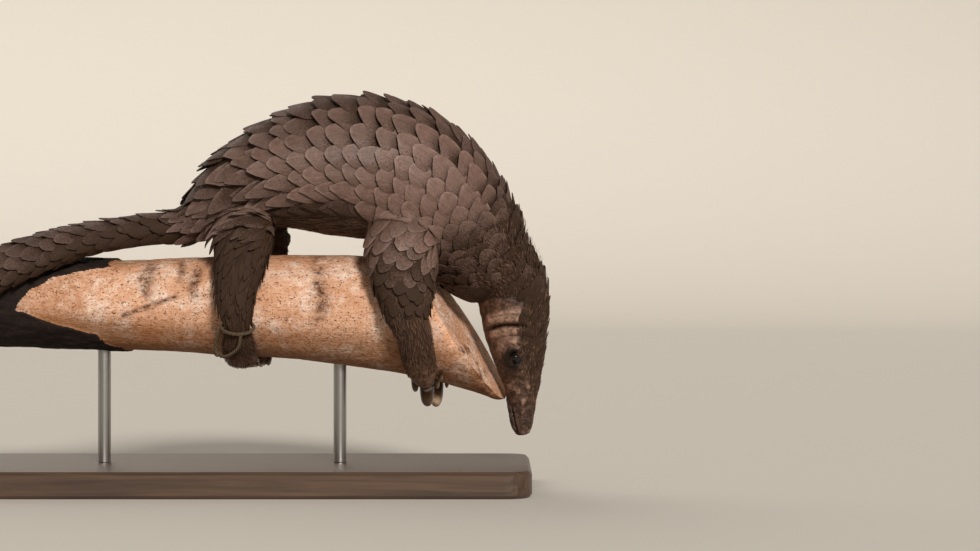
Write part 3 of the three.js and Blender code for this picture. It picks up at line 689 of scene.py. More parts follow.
def coarse_hair():
    """Coarse, straight hair: brown with paler ends, faintly glossy along each lock."""
    material, tree, shader, (along, tone) = new_finish("coarse_brown_hair", "along", "tone")
    look = colours()
    lit = add_node(tree, "ShaderNodeMath", {0: along, 1: tone}, operation="MULTIPLY")
    lit = add_node(tree, "ShaderNodeMath", {0: lit.outputs[0], 1: 0.55}, operation="MULTIPLY")
    hair = layered(tree, solid_colour(look.soil), [
        (tone, solid_colour(look.hair)), (lit.outputs[0], solid_colour(look.skin_pale)),
    ])
    tree.links.new(hair, shader.inputs["Base Color"])
    shader.inputs["Roughness"].default_value = 0.7
    shader.inputs["IOR"].default_value = 1.55
    shader.inputs["Specular IOR Level"].default_value = 0.2
    return material


def claw_horn():
    """Claw horn: smooth and slightly glossy, dark at the root and worn pale towards the point, with
    lengthwise lines."""
    material, tree, shader, (along, across) = new_finish("polished_claw_horn", "along", "across")
    look = colours()
    local = add_node(tree, "ShaderNodeCombineXYZ", {"X": across, "Y": along}).outputs[0]
    # Lines a ninth of a radian apart round the claw, which is 0.2 to 0.5 mm
    long_ways = add_node(tree, "ShaderNodeMapping", {"Vector": local, "Scale": (9.0, 1.2, 1.0)})
    lines = add_node(tree, "ShaderNodeTexNoise", {
        "Vector": long_ways.outputs[0], "Scale": 1.0, "Detail": 3.0,
    }).outputs[0]
    fade = add_node(tree, "ShaderNodeMath", {0: lines, 1: along}, operation="MULTIPLY")
    share = add_node(tree, "ShaderNodeMapRange", {
        "Value": fade.outputs[0], "From Min": 0.08, "From Max": 0.45,
    })
    horn = layered(tree, solid_colour(look.soil), [(share.outputs[0], solid_colour(look.claw))])
    tree.links.new(horn, shader.inputs["Base Color"])
    shader.inputs["Roughness"].default_value = 0.36
    shader.inputs["IOR"].default_value = 1.54
    dent = add_node(tree, "ShaderNodeBump", {"Strength": 0.4, "Distance": 0.2 * MM, "Height": lines})
    tree.links.new(dent.outputs[0], shader.inputs["Normal"])
    return material


def wet_eye():
    """A wet, almost black eye: a clear, sharply shining surface over a dark brown iris."""
    material, tree, shader, (off_middle,) = new_finish("wet_dark_eye", "along")
    look = colours()
    ring = add_node(tree, "ShaderNodeMapRange", {"Value": off_middle, "From Min": 0.25, "From Max": 0.75})
    iris = layered(tree, tint("pupil"), [(ring.outputs[0], solid_colour(look.eye))])
    tree.links.new(iris, shader.inputs["Base Color"])
    shader.inputs["Roughness"].default_value = 0.10
    shader.inputs["IOR"].default_value = 1.38
    shader.inputs["Coat Weight"].default_value = 0.3
    shader.inputs["Coat Roughness"].default_value = 0.02
    return material


def spots(tree, place, sizes_mm, low, high, most=1.0, detail=4.0, roughness=0.6):
    """Share of a surface that noise spots cover, between a low and a high level of the noise. The spots'
    sizes are millimetres along x, y and z."""
    scale = tuple(1 / (size * MM) for size in sizes_mm)
    ways = add_node(tree, "ShaderNodeMapping", {"Vector": place, "Scale": scale})
    field = add_node(tree, "ShaderNodeTexNoise", {
        "Vector": ways.outputs[0], "Scale": 1.0, "Detail": detail, "Roughness": roughness,
    })
    level = {"Value": field.outputs[0], "From Min": low, "From Max": high, "To Max": most}
    return add_node(tree, "ShaderNodeMapRange", level).outputs[0]


def peeled_log_wood():
    """A peeled log, dried and handled: pale pinkish wood mottled with orange, with brown specks, broken
    ring marks and soaked-in soil, with painted shade on its underside, and dark rough bark left on its rear
    length."""
    material, tree, shader, (bark, mark, soil) = new_finish("peeled_log_wood", "bark", "mark", "soil")
    look = colours()
    place = add_node(tree, "ShaderNodeTexCoord").outputs["Object"]
    warm, brown = tint("wood_warm"), tint("wood_brown")
    # Grain 1.6 mm wide and 25 mm long, mottling 3 mm, worn patches 16 mm, specks 1 mm, small blots 4 mm
    grain = spots(tree, place, (25, 1.6, 1.6), 0.42, 0.72, 0.45)
    mottle = spots(tree, place, (3.4, 2.6, 2.6), 0.46, 0.68, 0.75, 6.0, 0.75)
    patch = spots(tree, place, (16, 16, 16), 0.48, 0.62, 0.95)
    blush = spots(tree, place, (34, 26, 26), 0.47, 0.68, 0.6)
    speck = spots(tree, place, (1.3, 1.0, 1.0), 0.585, 0.66, 0.9, 2.0)
    blot = spots(tree, place, (4.2, 3.0, 3.0), 0.62, 0.68, 0.75, 5.0)
    grit = spots(tree, place, (1.6, 1.2, 1.2), 0.35, 0.65)
    # The ring marks are broken into uneven blots about 3 mm across
    blots = spots(tree, place, (3.8, 2.8, 2.8), 0.32, 0.58, 1.0, 6.0, 0.75)
    marked = add_node(tree, "ShaderNodeMath", {0: blots, 1: mark}, operation="MULTIPLY").outputs[0]
    # Earth has soaked in where the mottling lets it, and the same share paints shade on the log's underside
    soaked = add_node(tree, "ShaderNodeMath", {0: mottle, 1: 0.45, 2: -0.1}, operation="MULTIPLY_ADD")
    soaked = add_node(tree, "ShaderNodeMath", {0: soaked.outputs[0], 1: soil}, operation="ADD")
    soaked = add_node(tree, "ShaderNodeMapRange", {
        "Value": soaked.outputs[0], "From Min": 0.3, "From Max": 1.0, "To Max": 0.75,
    })
    flecks = spots(tree, place, (7, 3, 3), 0.42, 0.7, 0.85, 6.0, 0.7)
    rind = layered(tree, solid_colour(look.bark), [(flecks, tint("bark_fleck"))])
    torn = add_node(tree, "ShaderNodeMath", {0: grit, 1: 0.25, 2: bark}, operation="MULTIPLY_ADD")
    torn = add_node(tree, "ShaderNodeMapRange", {
        "Value": torn.outputs[0], "From Min": 0.5, "From Max": 0.72,
    })
    wood = layered(tree, solid_colour(look.wood), [
        (patch, tint("wood_worn")), (blush, warm), (grain, warm), (mottle, warm), (speck, brown),
        (blot, brown), (marked, brown), (soaked.outputs[0], tint("wood_earth")), (torn.outputs[0], rind),
    ])
    tree.links.new(wood, shader.inputs["Base Color"])
    shader.inputs["Roughness"].default_value = 0.78
    shader.inputs["IOR"].default_value = 1.5
    shader.inputs["Specular IOR Level"].default_value = 0.25
    grained = add_node(tree, "ShaderNodeBump", {"Strength": 0.4, "Distance": 0.4 * MM, "Height": grain})
    gritty = add_node(tree, "ShaderNodeBump", {
        "Strength": 0.5, "Distance": 0.5 * MM, "Height": grit, "Normal": grained.outputs[0],
    })
    tree.links.new(gritty.outputs[0], shader.inputs["Normal"])
    return material


def twisted_fibre():
    """Weathered plant-fibre cord: dull, greyed and fuzzy, with lines that follow each strand."""
    material, tree, shader, (along, across) = new_finish("twisted_plant_fibre", "along", "across")
    look = colours()
    local = add_node(tree, "ShaderNodeCombineXYZ", {"X": across, "Y": along}).outputs[0]
    # Fibres a quarter of a radian wide round each strand, which is about 0.15 mm, and 2 mm long
    ways = add_node(tree, "ShaderNodeMapping", {"Vector": local, "Scale": (4.0, 0.5, 1.0)})
    fibres = add_node(tree, "ShaderNodeTexNoise", {
        "Vector": ways.outputs[0], "Scale": 1.0, "Detail": 4.0,
    }).outputs[0]
    share = add_node(tree, "ShaderNodeMapRange", {"Value": fibres, "From Min": 0.3, "From Max": 0.7})
    dyed = layered(tree, solid_colour(look.soil), [(share.outputs[0], solid_colour(look.cord))])
    tree.links.new(dyed, shader.inputs["Base Color"])
    shader.inputs["Roughness"].default_value = 0.85
    dent = add_node(tree, "ShaderNodeBump", {"Strength": 0.7, "Distance": 0.2 * MM, "Height": fibres})
    tree.links.new(dent.outputs[0], shader.inputs["Normal"])
    return material


def oiled_wood():
    """Oiled hardwood, planed and sanded: dark, with long fine grain and a soft sheen."""
    material, tree, shader, _ = new_finish("oiled_hardwood")
    look = colours()
    place = add_node(tree, "ShaderNodeTexCoord").outputs["Object"]
    # Grain 1.2 mm wide and 80 mm long
    grain_scale = (1 / (80 * MM), 1 / (1.2 * MM), 1 / (4 * MM))
    ways = add_node(tree, "ShaderNodeMapping", {"Vector": place, "Scale": grain_scale})
    grain = add_node(tree, "ShaderNodeTexNoise", {
        "Vector": ways.outputs[0], "Scale": 1.0, "Detail": 5.0, "Distortion": 0.6,
    }).outputs[0]
    share = add_node(tree, "ShaderNodeMapRange", {"Value": grain, "From Min": 0.35, "From Max": 0.7})
    wood = layered(tree, solid_colour(look.stand), [(share.outputs[0], tint("stand_grain"))])
    tree.links.new(wood, shader.inputs["Base Color"])
    shader.inputs["Roughness"].default_value = 0.42
    shader.inputs["IOR"].default_value = 1.5
    dent = add_node(tree, "ShaderNodeBump", {"Strength": 0.15, "Distance": 0.3 * MM, "Height": grain})
    tree.links.new(dent.outputs[0], shader.inputs["Normal"])
    return material


def brushed_steel():
    """Brushed stainless steel rod: grey, with fine lines round it that stretch the light."""
    material, tree, shader, _ = new_finish("brushed_stainless_steel")
    place = add_node(tree, "ShaderNodeTexCoord").outputs["Object"]
    # Brush lines 0.3 mm apart up the rod, and 17 mm long round it
    ways = add_node(tree, "ShaderNodeMapping", {"Vector": place, "Scale": (60.0, 60.0, 1 / (0.3 * MM))})
    lines = add_node(tree, "ShaderNodeTexNoise", {
        "Vector": ways.outputs[0], "Scale": 1.0, "Detail": 2.0,
    }).outputs[0]
    gloss = add_node(tree, "ShaderNodeMapRange", {"Value": lines, "To Min": 0.24, "To Max": 0.4})
    tree.links.new(gloss.outputs[0], shader.inputs["Roughness"])
    shader.inputs["Base Color"].default_value = tint("steel")
    shader.inputs["Metallic"].default_value = 1.0
    dent = add_node(tree, "ShaderNodeBump", {"Strength": 0.1, "Distance": 0.1 * MM, "Height": lines})
    tree.links.new(dent.outputs[0], shader.inputs["Normal"])
    return material


def studio_paper():
    """Matt pale backdrop paper with a barely seen tooth."""
    material, tree, shader, _ = new_finish("matt_backdrop_paper")
    look = colours()
    place = add_node(tree, "ShaderNodeTexCoord").outputs["Object"]
    # The tooth's bumps are 2 mm across, coarser than real, so that they show from afar
    tooth = add_node(tree, "ShaderNodeTexNoise", {"Vector": place, "Scale": 1 / (2 * MM), "Detail": 2.0})
    shade = add_node(tree, "ShaderNodeMapRange", {"Value": tooth.outputs[0], "To Min": 0.96, "To Max": 1.0})
    paper = add_node(
        tree, "ShaderNodeMix", {0: 1.0, 6: solid_colour(look.floor), 7: shade.outputs[0]},
        data_type="RGBA", blend_type="MULTIPLY",
    )
    tree.links.new(paper.outputs[2], shader.inputs["Base Color"])
    shader.inputs["Roughness"].default_value = 0.9
    return material


# Head forms

def eye_frame(hand):
    """Centre of the eyeball, and the directions out of the head and along it."""
    angle = np.array(EYE["angle"] * DEG * hand)
    along = trunk.at(EYE["along"])[1]
    rim = trunk.point(EYE["along"], angle)
    out = unit(rim - trunk.point(EYE["along"], angle, -4.0))
    return rim - out * EYE["sunk"], out, along


def eye_forms(s, degrees, across, height):
    """The face's height with a socket for the ball, full lids with a soft edge, and a hollow before and
    below the eye. With it come the distances along and round the head from the eye's middle."""
    ds = s - EYE["along"]
    dt = (degrees - EYE["angle"]) * DEG * across
    opening = np.hypot(ds / EYE["opening"][0], dt / EYE["opening"][1])
    reach = np.hypot(ds, dt)
    ball = np.sqrt(np.clip(EYE["radius"] ** 2 - reach**2, 0, None)) - EYE["sunk"]
    lid = 0.75 * bump_at(reach, 5.6, 1.7) * mix(0.75, 1.25, ease(-5, 5, ds))
    lid -= 0.55 * bump_at(reach, 8.0 + 0.8 * np.sin(dt), 0.7) * ease(-3, 5, ds)
    lid += 0.4 * bump_at(reach, 9.6, 1.2) * ease(-3, 5, ds)
    hollow = -1.3 * bump_at(np.hypot((ds + 6.5) / 5.5, (dt - 6.5) / 5.0), 0, 1)
    socket = -5.0 * (1 - np.clip(opening, 0, 1) ** 3)
    rim = np.maximum(ball + 0.45, 0) * (1 - ease(EYE["opening"][0], EYE["opening"][0] + 1.4, reach))
    outside = height + lid + rim + hollow
    inside = socket + (ball + 0.25) * np.clip(opening, 0, 1) ** 3
    return np.where(opening < 1, inside, outside), ds, dt


def ear_forms(points, s, degrees):
    """Shares of the ear's broad low band, the groove on it, the deep arched crease before it, and the
    puffed fold and wrinkle of the cheek. The first value is how far up and down the head they reach."""
    span = ease(EAR["from"] - 8, EAR["from"] + 8, degrees)
    span *= 1 - ease(EAR["to"] - 12, EAR["to"] + 6, degrees)
    arch = EAR["along"] + 2.0 * np.sin(np.clip((degrees - EAR["from"]) / 78, 0, 1) * math.pi) - 1.0
    band = np.exp(-(np.abs((s - arch) / EAR["width"]) ** 4))
    groove = 0.5 * bump_at(s, arch + 0.8 + 0.5 * noise(points, 6, 5), 0.6)
    crease = bump_at(s, arch - EAR["width"] - 0.9, 1.05)
    cheek = bump_at(s, arch - EAR["width"] - 4.2, 2.4)
    wrinkle = bump_at(s, arch - EAR["width"] - 7.8 + 0.9 * noise(points, 5, 8), 0.7)
    return span, band, groove, crease, cheek, wrinkle


def mouth_forms(s, degrees, across):
    """Distance round the head from the line of the mouth, under the tip of the snout, and the line's
    share at each place."""
    back = trunk.at(s)[4]
    below = mix(MOUTH["below_tip"], MOUTH["below_back"], np.clip(s / MOUTH["length"], 0, 1))
    line = np.degrees(np.arccos(np.clip(-below / back, -1, 1)))
    there = ease(-1, 1.5, s) * (1 - ease(MOUTH["length"] - 5, MOUTH["length"] + 1, s))
    return (degrees - line) * DEG * across, there


def head_relief(s, angle):
    """Height of the face's forms over its plain shape, and where it is pale, wet and dark, with painted
    highlight on raised forms and painted shade in hollows.

    Places are millimetres from the nose along the head and an angle off its back. The forms' own
    heights, distances and widths are in millimetres too."""
    degrees = np.abs(turned(angle))
    across, _ = trunk.round(s, angle)
    points = trunk.point(s, angle)
    fold = millimetres(sizes().wrinkle_depth)
    snout = 1 - ease(28, 44, s)
    lumps = rough(points, 3.2, 3, 3)
    height = fold * lumps * mix(0.9, 1.5, snout) * ease(2, 12, s)
    height += fold * 0.5 * rough(points * [1, 1, 1.8], 1.3, 2, 7)
    height, ds, dt = eye_forms(s, degrees, across, height)
    reach = np.hypot(ds, dt)
    span, band, groove, crease, cheek, wrinkle = ear_forms(points, s, degrees)
    ear = EAR["height"] * band - groove - 2.4 * crease + 0.9 * cheek - 0.55 * wrinkle
    height = height + span * ear

    # A slit with lips on both sides
    off, there = mouth_forms(s, degrees, across)
    lips = 0.5 * bump_at(off, -1.3, 0.9) + 0.45 * bump_at(off, 1.3, 0.8) - 0.9 * bump_at(off, 0, 0.45)
    height = height + there * lips

    # Nostrils: comma-shaped holes at the tip, with a raised wing
    ns = s - NOSTRIL["along"]
    nt = (degrees - NOSTRIL["angle"]) * DEG * across
    hole = np.hypot(ns / 1.3, nt / 0.9)
    height = height - 1.7 * np.exp(-(hole**4)) + 0.4 * bump_at(hole, 1.8, 0.5)

    # Pale on the ear fold; paler on the cheek, the ridge round the eye and the tops of the snout's lumps,
    # pale skin with painted highlight; wet at lips and nostrils; dark as painted shade in creases,
    # nostrils, the mouth's slit, the hollow before the eye and between the snout's lumps; darker skin with
    # painted shade round the eye and towards the tip of the snout
    pale = span * (band * 0.86 + 1.3 * cheek) + 0.45 * bump_at(reach, 10.5, 3.0) * ease(-2, 6, ds)
    pale += 1.7 * np.clip(lumps - 0.1, 0, 1) * (0.35 + 0.65 * snout) + 0.4 * bump_at(s, 1.5, 2.2)
    wet = 0.75 * bump_at(off, 0, 0.9) * there + 0.55 * np.exp(-(hole**2)) + 0.2 * bump_at(reach, 4.2, 0.6)
    dark = span * (crease + 0.8 * groove) + 1.0 * bump_at(reach, 4.0, 2.8) + 0.8 * np.exp(-(hole**2))
    dark += 0.75 * bump_at(np.hypot((ds + 5) / 7, (dt - 6) / 6), 0, 1) + 0.5 * there * bump_at(off, 0, 0.6)
    tip = 0.36 + 0.3 * (1 - ease(4, 14, s))
    dark += tip * (1 - ease(26, 42, s)) * (0.6 + 0.9 * np.clip(-lumps, 0, 1))
    return height, np.clip(pale, 0, 1), np.clip(wet, 0, 1), np.clip(dark, 0, 1)


def brow_limit(s):
    """Degrees off the back that the small scales of brow and crown reach."""
    return mix(46, 82, ease(20, 46, s)) - 10 * ease(60, 74, s) + 60 * ease(78, 90, s)


def head_skin():
    """Points, faces and values of the head's own fine skin, from a rounded nose to under the neck."""
    columns = 208
    nose = 3.0  # the snout is rounded off over this length before its first station
    angles = np.linspace(-math.pi, math.pi, columns, endpoint=False)
    # Rings of points lie closest at the tip of the snout and round the eye
    s = np.concatenate([
        np.linspace(0.8, 12, 34), np.linspace(12, 38, 52)[1:], np.linspace(38, 57, 58)[1:],
        np.linspace(57, HEAD_END, 66)[1:],
    ])
    places, turns = np.meshgrid(s, angles, indexing="ij")
    height, pale, wet, dark = head_relief(places, turns)
    # Under the scales of brow and crown the skin lies deeper, and is painted darker and less pale as shade
    limit = brow_limit(places)
    off_back = np.abs(turned(turns))
    scaled = 1 - ease(limit - 4, limit + 6, off_back)
    covered = 1 - ease(limit + 2, limit + 12, off_back)
    pale = pale * (1 - 0.9 * covered * ease(22, 34, places))
    dark = np.maximum(dark, 0.5 * covered * ease(22, 34, places))
    depth = -0.7 * scaled * ease(14, 26, places) - 2.2 * ease(HEAD_END - 10, HEAD_END, places)
    points = trunk.point(places, turns, height + depth)
    rings = [points[0]]
    centre = trunk.at(s[0])[0]
    ahead = -trunk.at(s[0])[1]
    for i in range(1, 9):
        t = i / 9 * math.pi / 2
        rings.append(centre + (points[0] - centre) * math.cos(t) + ahead * nose * 0.8 * math.sin(t))
    # The rounded nose comes first, from its tip
    cap = rings[:0:-1]
    all_rings = np.concatenate([np.array(cap), points])
    extra = len(cap)
    faces = tube_faces(len(all_rings), columns)
    wet = np.concatenate([np.full((extra, columns), 0.45), wet])
    pale, dark = [np.concatenate([np.repeat(value[:1], extra, axis=0), value]) for value in (pale, dark)]
    return all_rings.reshape(-1, 3), faces, pale.ravel(), wet.ravel(), dark.ravel()


def fused_body():
    """One closed skin over trunk, tail and legs, smoothed where the legs leave the trunk."""
    points = []
    faces = []
    # Each limb's tube: start, end, points round it and distance between its rings
    tubes = [(trunk, BODY_FROM, ROOT + 4, 64, 4.0), (tail, -6.0, tail.length - 0.5, 40, 3.0)]
    tubes += [(leg, 0.0, leg.length - 0.3, 40, 3.0) for leg in legs.values()]
    for path, start, end, columns, step in tubes:
        made, quads = closed_tube(path, start, end, step, columns, -SKIN_DEPTH)
        offset = sum(len(p) for p in points)
        faces += [[i + offset for i in face] for face in quads]
        points.append(made)
    mesh = bpy.data.meshes.new("body_tubes")
    mesh.from_pydata((np.vstack(points) * MM).tolist(), [], faces)
    whole = bpy.data.objects.new("body_tubes", mesh)
    bpy.context.scene.collection.objects.link(whole)
    remesh = whole.modifiers.new("fuse", "REMESH")
    remesh.mode = "VOXEL"
    remesh.voxel_size = VOXEL * MM
    remesh.use_smooth_shade = True
    graph = bpy.context.evaluated_depsgraph_get()
    fused = whole.evaluated_get(graph).to_mesh()
    count = len(fused.vertices)
    co = np.empty(count * 3, np.float32)
    fused.vertices.foreach_get("co", co)
    quads = [list(face.vertices) for face in fused.polygons]
    edges = np.empty(len(fused.edges) * 2, np.int32)
    fused.edges.foreach_get("vertices", edges)
    whole.evaluated_get(graph).to_mesh_clear()
    bpy.data.objects.remove(whole)
    bpy.data.meshes.remove(mesh)
    co = co.reshape(-1, 3).astype(float) / MM
    edges = edges.reshape(-1, 2)
    return smoothed(co, edges, joint_share(co)), quads


def joint_share(co):
    """How far the skin is smoothed: wholly at the roots of the legs, and a little elsewhere."""
    share = np.full(len(co), 0.12)
    for leg in legs.values():
        root = leg.at(8.0)[0]
        share = np.maximum(share, 1 - ease(26, 42, np.linalg.norm(co - root, axis=1)))
    return share


def smoothed(co, edges, share, rounds=14):
    """Points drawn to the middle of their neighbours, as far as their share allows."""
    degree = np.bincount(edges.ravel(), minlength=len(co))[:, None]
    for _ in range(rounds):
        total = np.zeros_like(co)
        for axis in range(3):
            total[:, axis] = np.bincount(edges[:, 0], co[edges[:, 1], axis], len(co))
            total[:, axis] += np.bincount(edges[:, 1], co[edges[:, 0], axis], len(co))
        co = co + (total / degree - co) * share[:, None] * 0.6
    return co


HIDE = {}  # holds the hide's search tree, once the hide is made


def hide_tree():
    """The hide as a search tree, so that scales and hair can be seated on it."""
    if "tree" not in HIDE:
        raise RuntimeError("make the hide before its scales and hair")
    return HIDE["tree"]


# Scales

SCALE_ROWS = 9  # quads along a scale
SCALE_COLUMNS = 10  # quads across a scale
STIFF_FROM = 4  # the row of a scale from which it stands straight off the skin
# What a scale has where its site doesn't say
SCALE = {
    "point": 0.15, "skew": 0.0, "grime": 0.1, "roll": 0.0, "wild": 0.15, "stiff": 0.5, "worn": 0.5,
}


def scale_grid():
    """Places on one scale: share of the way to the tip and across, denser at its edges."""
    u = np.linspace(0, 1, SCALE_ROWS + 1)
    v = np.sin(np.linspace(-1, 1, SCALE_COLUMNS + 1) * math.pi / 2)
    return np.meshgrid(u, v, indexing="ij")


def scale_faces():
    """Quads of one closed scale: its top, its underside and its rim."""
    rows, columns = SCALE_ROWS + 1, SCALE_COLUMNS + 1
    top = [
        [(i + 1) * columns + j, (i + 1) * columns + j + 1, i * columns + j + 1, i * columns + j]
        for i in range(rows - 1) for j in range(columns - 1)
    ]
    under = [[rows * columns + k for k in reversed(face)] for face in top]
    edge = list(range(columns)) + [i * columns + columns - 1 for i in range(1, rows)]
    edge += [(rows - 1) * columns + j for j in reversed(range(columns - 1))]
    edge += [i * columns for i in reversed(range(1, rows - 1))]
    rim = []
    for a, b in zip(edge, edge[1:] + edge[:1]):
        rim.append([a, b, rows * columns + b, rows * columns + a])
    return np.array(top + under + rim)


def raised_off_hide(points, least, reach):
    """Points pushed out along the hide's own normal to at least the given heights, and how far."""
    tree = hide_tree()
    flat = points.reshape(-1, 3).copy()
    least = np.broadcast_to(least, points.shape[:-1]).reshape(-1)
    pushes = np.zeros(len(flat))
    for i, (x, y, z) in enumerate(flat):
        hit, normal, _, _ = tree.find_nearest((x, y, z), reach)
        if hit is None:
            continue
        height = (x - hit.x) * normal.x + (y - hit.y) * normal.y + (z - hit.z) * normal.z
        push = least[i] - height
        if push > 0:
            flat[i] += np.array(normal) * push
            pushes[i] = push
    return flat.reshape(points.shape), pushes.reshape(points.shape[:-1])


def scale_outline(v, low_side, roll, point, lot):
    """Share of a scale's length that it reaches at each place across it.

    The tip is round, or pointed where point is 1. Where the scale rolls, its tip lies nearer the back
    and its lower side is cut off straight and slanting."""
    roll = np.minimum(roll, 1)
    lean = -0.38 * roll
    off_tip = np.where(low_side < lean, (lean - low_side) / (1 + lean), (low_side - lean) / (1 - lean))
    slanting = roll * (low_side > lean)
    sharp = np.clip(point + 0.55 * slanting, 0, 1)
    shoulder = mix(0.50, 0.34, point) - 0.10 * slanting + 0.08 * roll * (low_side < lean)
    nicks = 0.03 * np.sin(v * 15 + lot * 40) * mix(0.3, 1.0, lot) * (1 - v**4)
    rounded = (1 - off_tip ** mix(2.3, 1.15, sharp)) ** (1 / mix(1.7, 1.05, sharp))
    return shoulder + (1 - shoulder) * rounded + nicks


def lay_scales(name, field, sites, sunk=6.0):
    """Overlapping horn scales on a limb, each seated on the hide, as one piece. Scales that lie deeper
    than the given millimetres under the hide are left out.

    A site gives its place, length, half width and lift, and may give how pointed the scale is, its
    turn from the limb's line, the lift of its lower side, how disordered, stiff and worn it is, and how
    far soil and painted shade darken it."""
    path = FIELDS[field][0]
    keys = ("s", "angle", "length", "half", "lift", *SCALE)
    s0, angle0, length, half, lift, point, skew, grime, roll, wild, stiff, worn = [
        np.array([site.get(key, SCALE.get(key)) for site in sites], float)[:, None, None] for key in keys
    ]
    draw = np.random.default_rng(sum(map(ord, name)))
    count = len(sites)

    def vary(spread, power=1.0):
        return draw.uniform(-1, 1, (count, 1, 1)) * spread * (0.5 + wild * power)

    length = length * (1 + vary(0.11))
    half = half * (1 + vary(0.09))
    lift = lift * (1 + vary(0.4))
    roll = roll * (1 + vary(0.4))
    skew = skew + vary(6 * DEG, 2.0)
    tone = np.clip(worn + vary(0.32, 1.6), 0, 1)
    grime = np.clip(grime + vary(0.10, 1.5), 0, 1)
    lot = draw.uniform(0, 1, (count, 1, 1))
    u, v = scale_grid()
    low_side = np.where(roll < 0, -v, v)
    roll = np.abs(roll)
    tip = scale_outline(v, low_side, roll, point, lot)
    run = length * u * tip
    aside = half * v * (0.84 + 0.16 * ease(0, 0.45, u))
    forward = run * np.cos(skew) - aside * np.sin(skew)
    sideways = run * np.sin(skew) + aside * np.cos(skew)
    across, stretch = path.round(s0, angle0)
    s = s0 + forward / stretch
    angle = angle0 + sideways / across
    # The root is sunk in the hide, and the free part rises to its lift, crowned across and curled down
    tilt = roll * (bump_at(low_side, 0.3, 0.42) - 0.35 * ease(0.6, 1.0, low_side))
    seat = -1.5 * (1 - u) ** 2 + (lift * tip + tilt) * u**0.9 - 0.7 * np.clip(u - 0.75, 0, 1)
    crown = 0.5 * (1 - v**2) * np.sin(math.pi * np.clip(0.15 + u * 0.8, 0, 1)) * np.minimum(1, half / 6)
    curved = path.point(s, angle, seat + crown - SKIN_DEPTH)
    middle = curved[:, :, SCALE_COLUMNS // 2]
    ahead = unit(middle[:, STIFF_FROM + 1] - middle[:, STIFF_FROM - 1])[:, None, None, :]
    stiff_row = slice(STIFF_FROM, STIFF_FROM + 1)
    straight = curved[:, stiff_row] + ahead * (run - run[:, stiff_row])[..., None]
    share = (stiff * ease(STIFF_FROM / SCALE_ROWS, 0.9, u))[..., None]
    top, pushes = raised_off_hide(mix(curved, straight, share), seat, 14.0)
    pushes = pushes.reshape(count, -1)
    kept = (pushes.mean(axis=1) < sunk) & (pushes.max(axis=1) < sunk + 5)
    outward = unit(path.point(s, angle, 1.0) - path.point(s, angle, -1.0))
    thick = millimetres(sizes().scale_thickness) * mix(1.4, 0.85, u) * np.minimum(1, half / 5)
    under = top - outward * thick[..., None]
    points = np.concatenate([top.reshape(count, -1, 3), under.reshape(count, -1, 3)], axis=1)[kept]
    each = points.shape[1]
    quads = (scale_faces()[None] + (np.arange(kept.sum()) * each)[:, None, None]).reshape(-1, 4)

    def doubled(value):
        value = np.broadcast_to(value, top.shape[:3]).reshape(count, -1)
        return np.concatenate([value, value], axis=1)[kept].ravel()

    # The rim is full on the scale's upper side and faint on its lower side: worn edges with a painted
    # highlight where light catches the upper edges
    upper = 1 - np.minimum(roll, 1) * ease(-0.3, 0.2, low_side)
    edge = np.maximum(np.abs(v) ** 6 * ease(0.3, 0.6, u), ease(0.86, 1.0, u)) * mix(0.25, 1.0, upper)
    # The root, under the scale before it, and the lower side, over the gap below, get painted shade on top
    # of the site's soil and shade
    soil_and_shade_cover = np.clip(grime + 0.45 * (1 - ease(0.1, 0.7, u)) + 0.18 * low_side * np.minimum(roll, 1), 0, 1)
    piece = mesh_piece(
        name, points.reshape(-1, 3), quads, FINISHES["scale"], "scales",
        along=doubled(length * u), across=doubled(half * v), tone=doubled(tone), rim=doubled(edge),
        grime=doubled(soil_and_shade_cover), lot=doubled(lot),
    )
    # Every scale has its own patch of the bake map, with its underside inside its top's patch
    root = unrolled(field, s0, angle0)
    local = np.stack([u - 0.5, v * 0.5], -1)[None]
    places = [
        np.broadcast_to(root + local * MAP_PATCH * size, (*top.shape[:3], 2)) for size in (1.0, 0.7)
    ]
    places = np.concatenate([place.reshape(count, -1, 2) for place in places], axis=1)
    give_map(piece, places[kept].reshape(-1, 2))
    return piece


def scale_width(path, s, degrees, spacing):
    """Millimetres round a limb for a spacing in degrees."""
    return float(path.round(np.array(s), np.array(degrees * DEG))[0]) * spacing * DEG


NAPE = 79  # the trunk's first ring of scales, in mm from the nose
# Rows of scales on the trunk, in degrees off the middle of the back
BODY_ROWS = [0, 16.5, 33, 51, 70, 87, 101, 115, 130, 146, 162]
RUMP_ROWS = [0, 23, 46, 69, 92, 115, 138]


def ring_places(start, end, pitch):
    """Distances of scale rings whose pitch changes on the way."""
    places = [start]
    while places[-1] < end:
        places.append(places[-1] + pitch(places[-1]))
    return places


def body_pitch(s):
    """Distance between rings of scales on the trunk: small on the neck, large on the flanks."""
    return 6.2 + 4.8 * ease(106, 158, s) - 0.6 * ease(ROOT - 60, ROOT, s)


def body_places():
    """Where scales stand on the trunk: millimetres from the nose, degrees off the back, side, pitch,
    room round the trunk, and how far the place belongs to the flank."""
    rings = ring_places(NAPE, ROOT + 40, body_pitch)
    change = ROOT - 50
    for rows, first, last in ((BODY_ROWS, NAPE, change), (RUMP_ROWS, change, ROOT - 4)):
        for row, off in enumerate(rows):
            for hand in (1, -1) if off else (1,):
                for s, following in zip(rings[:-2], rings[1:]):
                    # Rows on neck and rump are staggered, and on the flank they lie side by side
                    flank = ease(175, 205, s) * (1 - ease(ROOT - 80, ROOT - 56, s))
                    pitch = following - s
                    s += (row % 2) * (0.5 - 0.5 * flank) * pitch
                    limit = 66 + 100 * ease(77, 92, s) - 34 * ease(128, 150, s)
                    limit += 18 * ease(ROOT - 45, ROOT, s)
                    if first <= s < last and off <= limit:
                        spacing = float(np.gradient(rows)[row])
                        yield s, off, hand, pitch, scale_width(trunk, s, off, spacing), flank


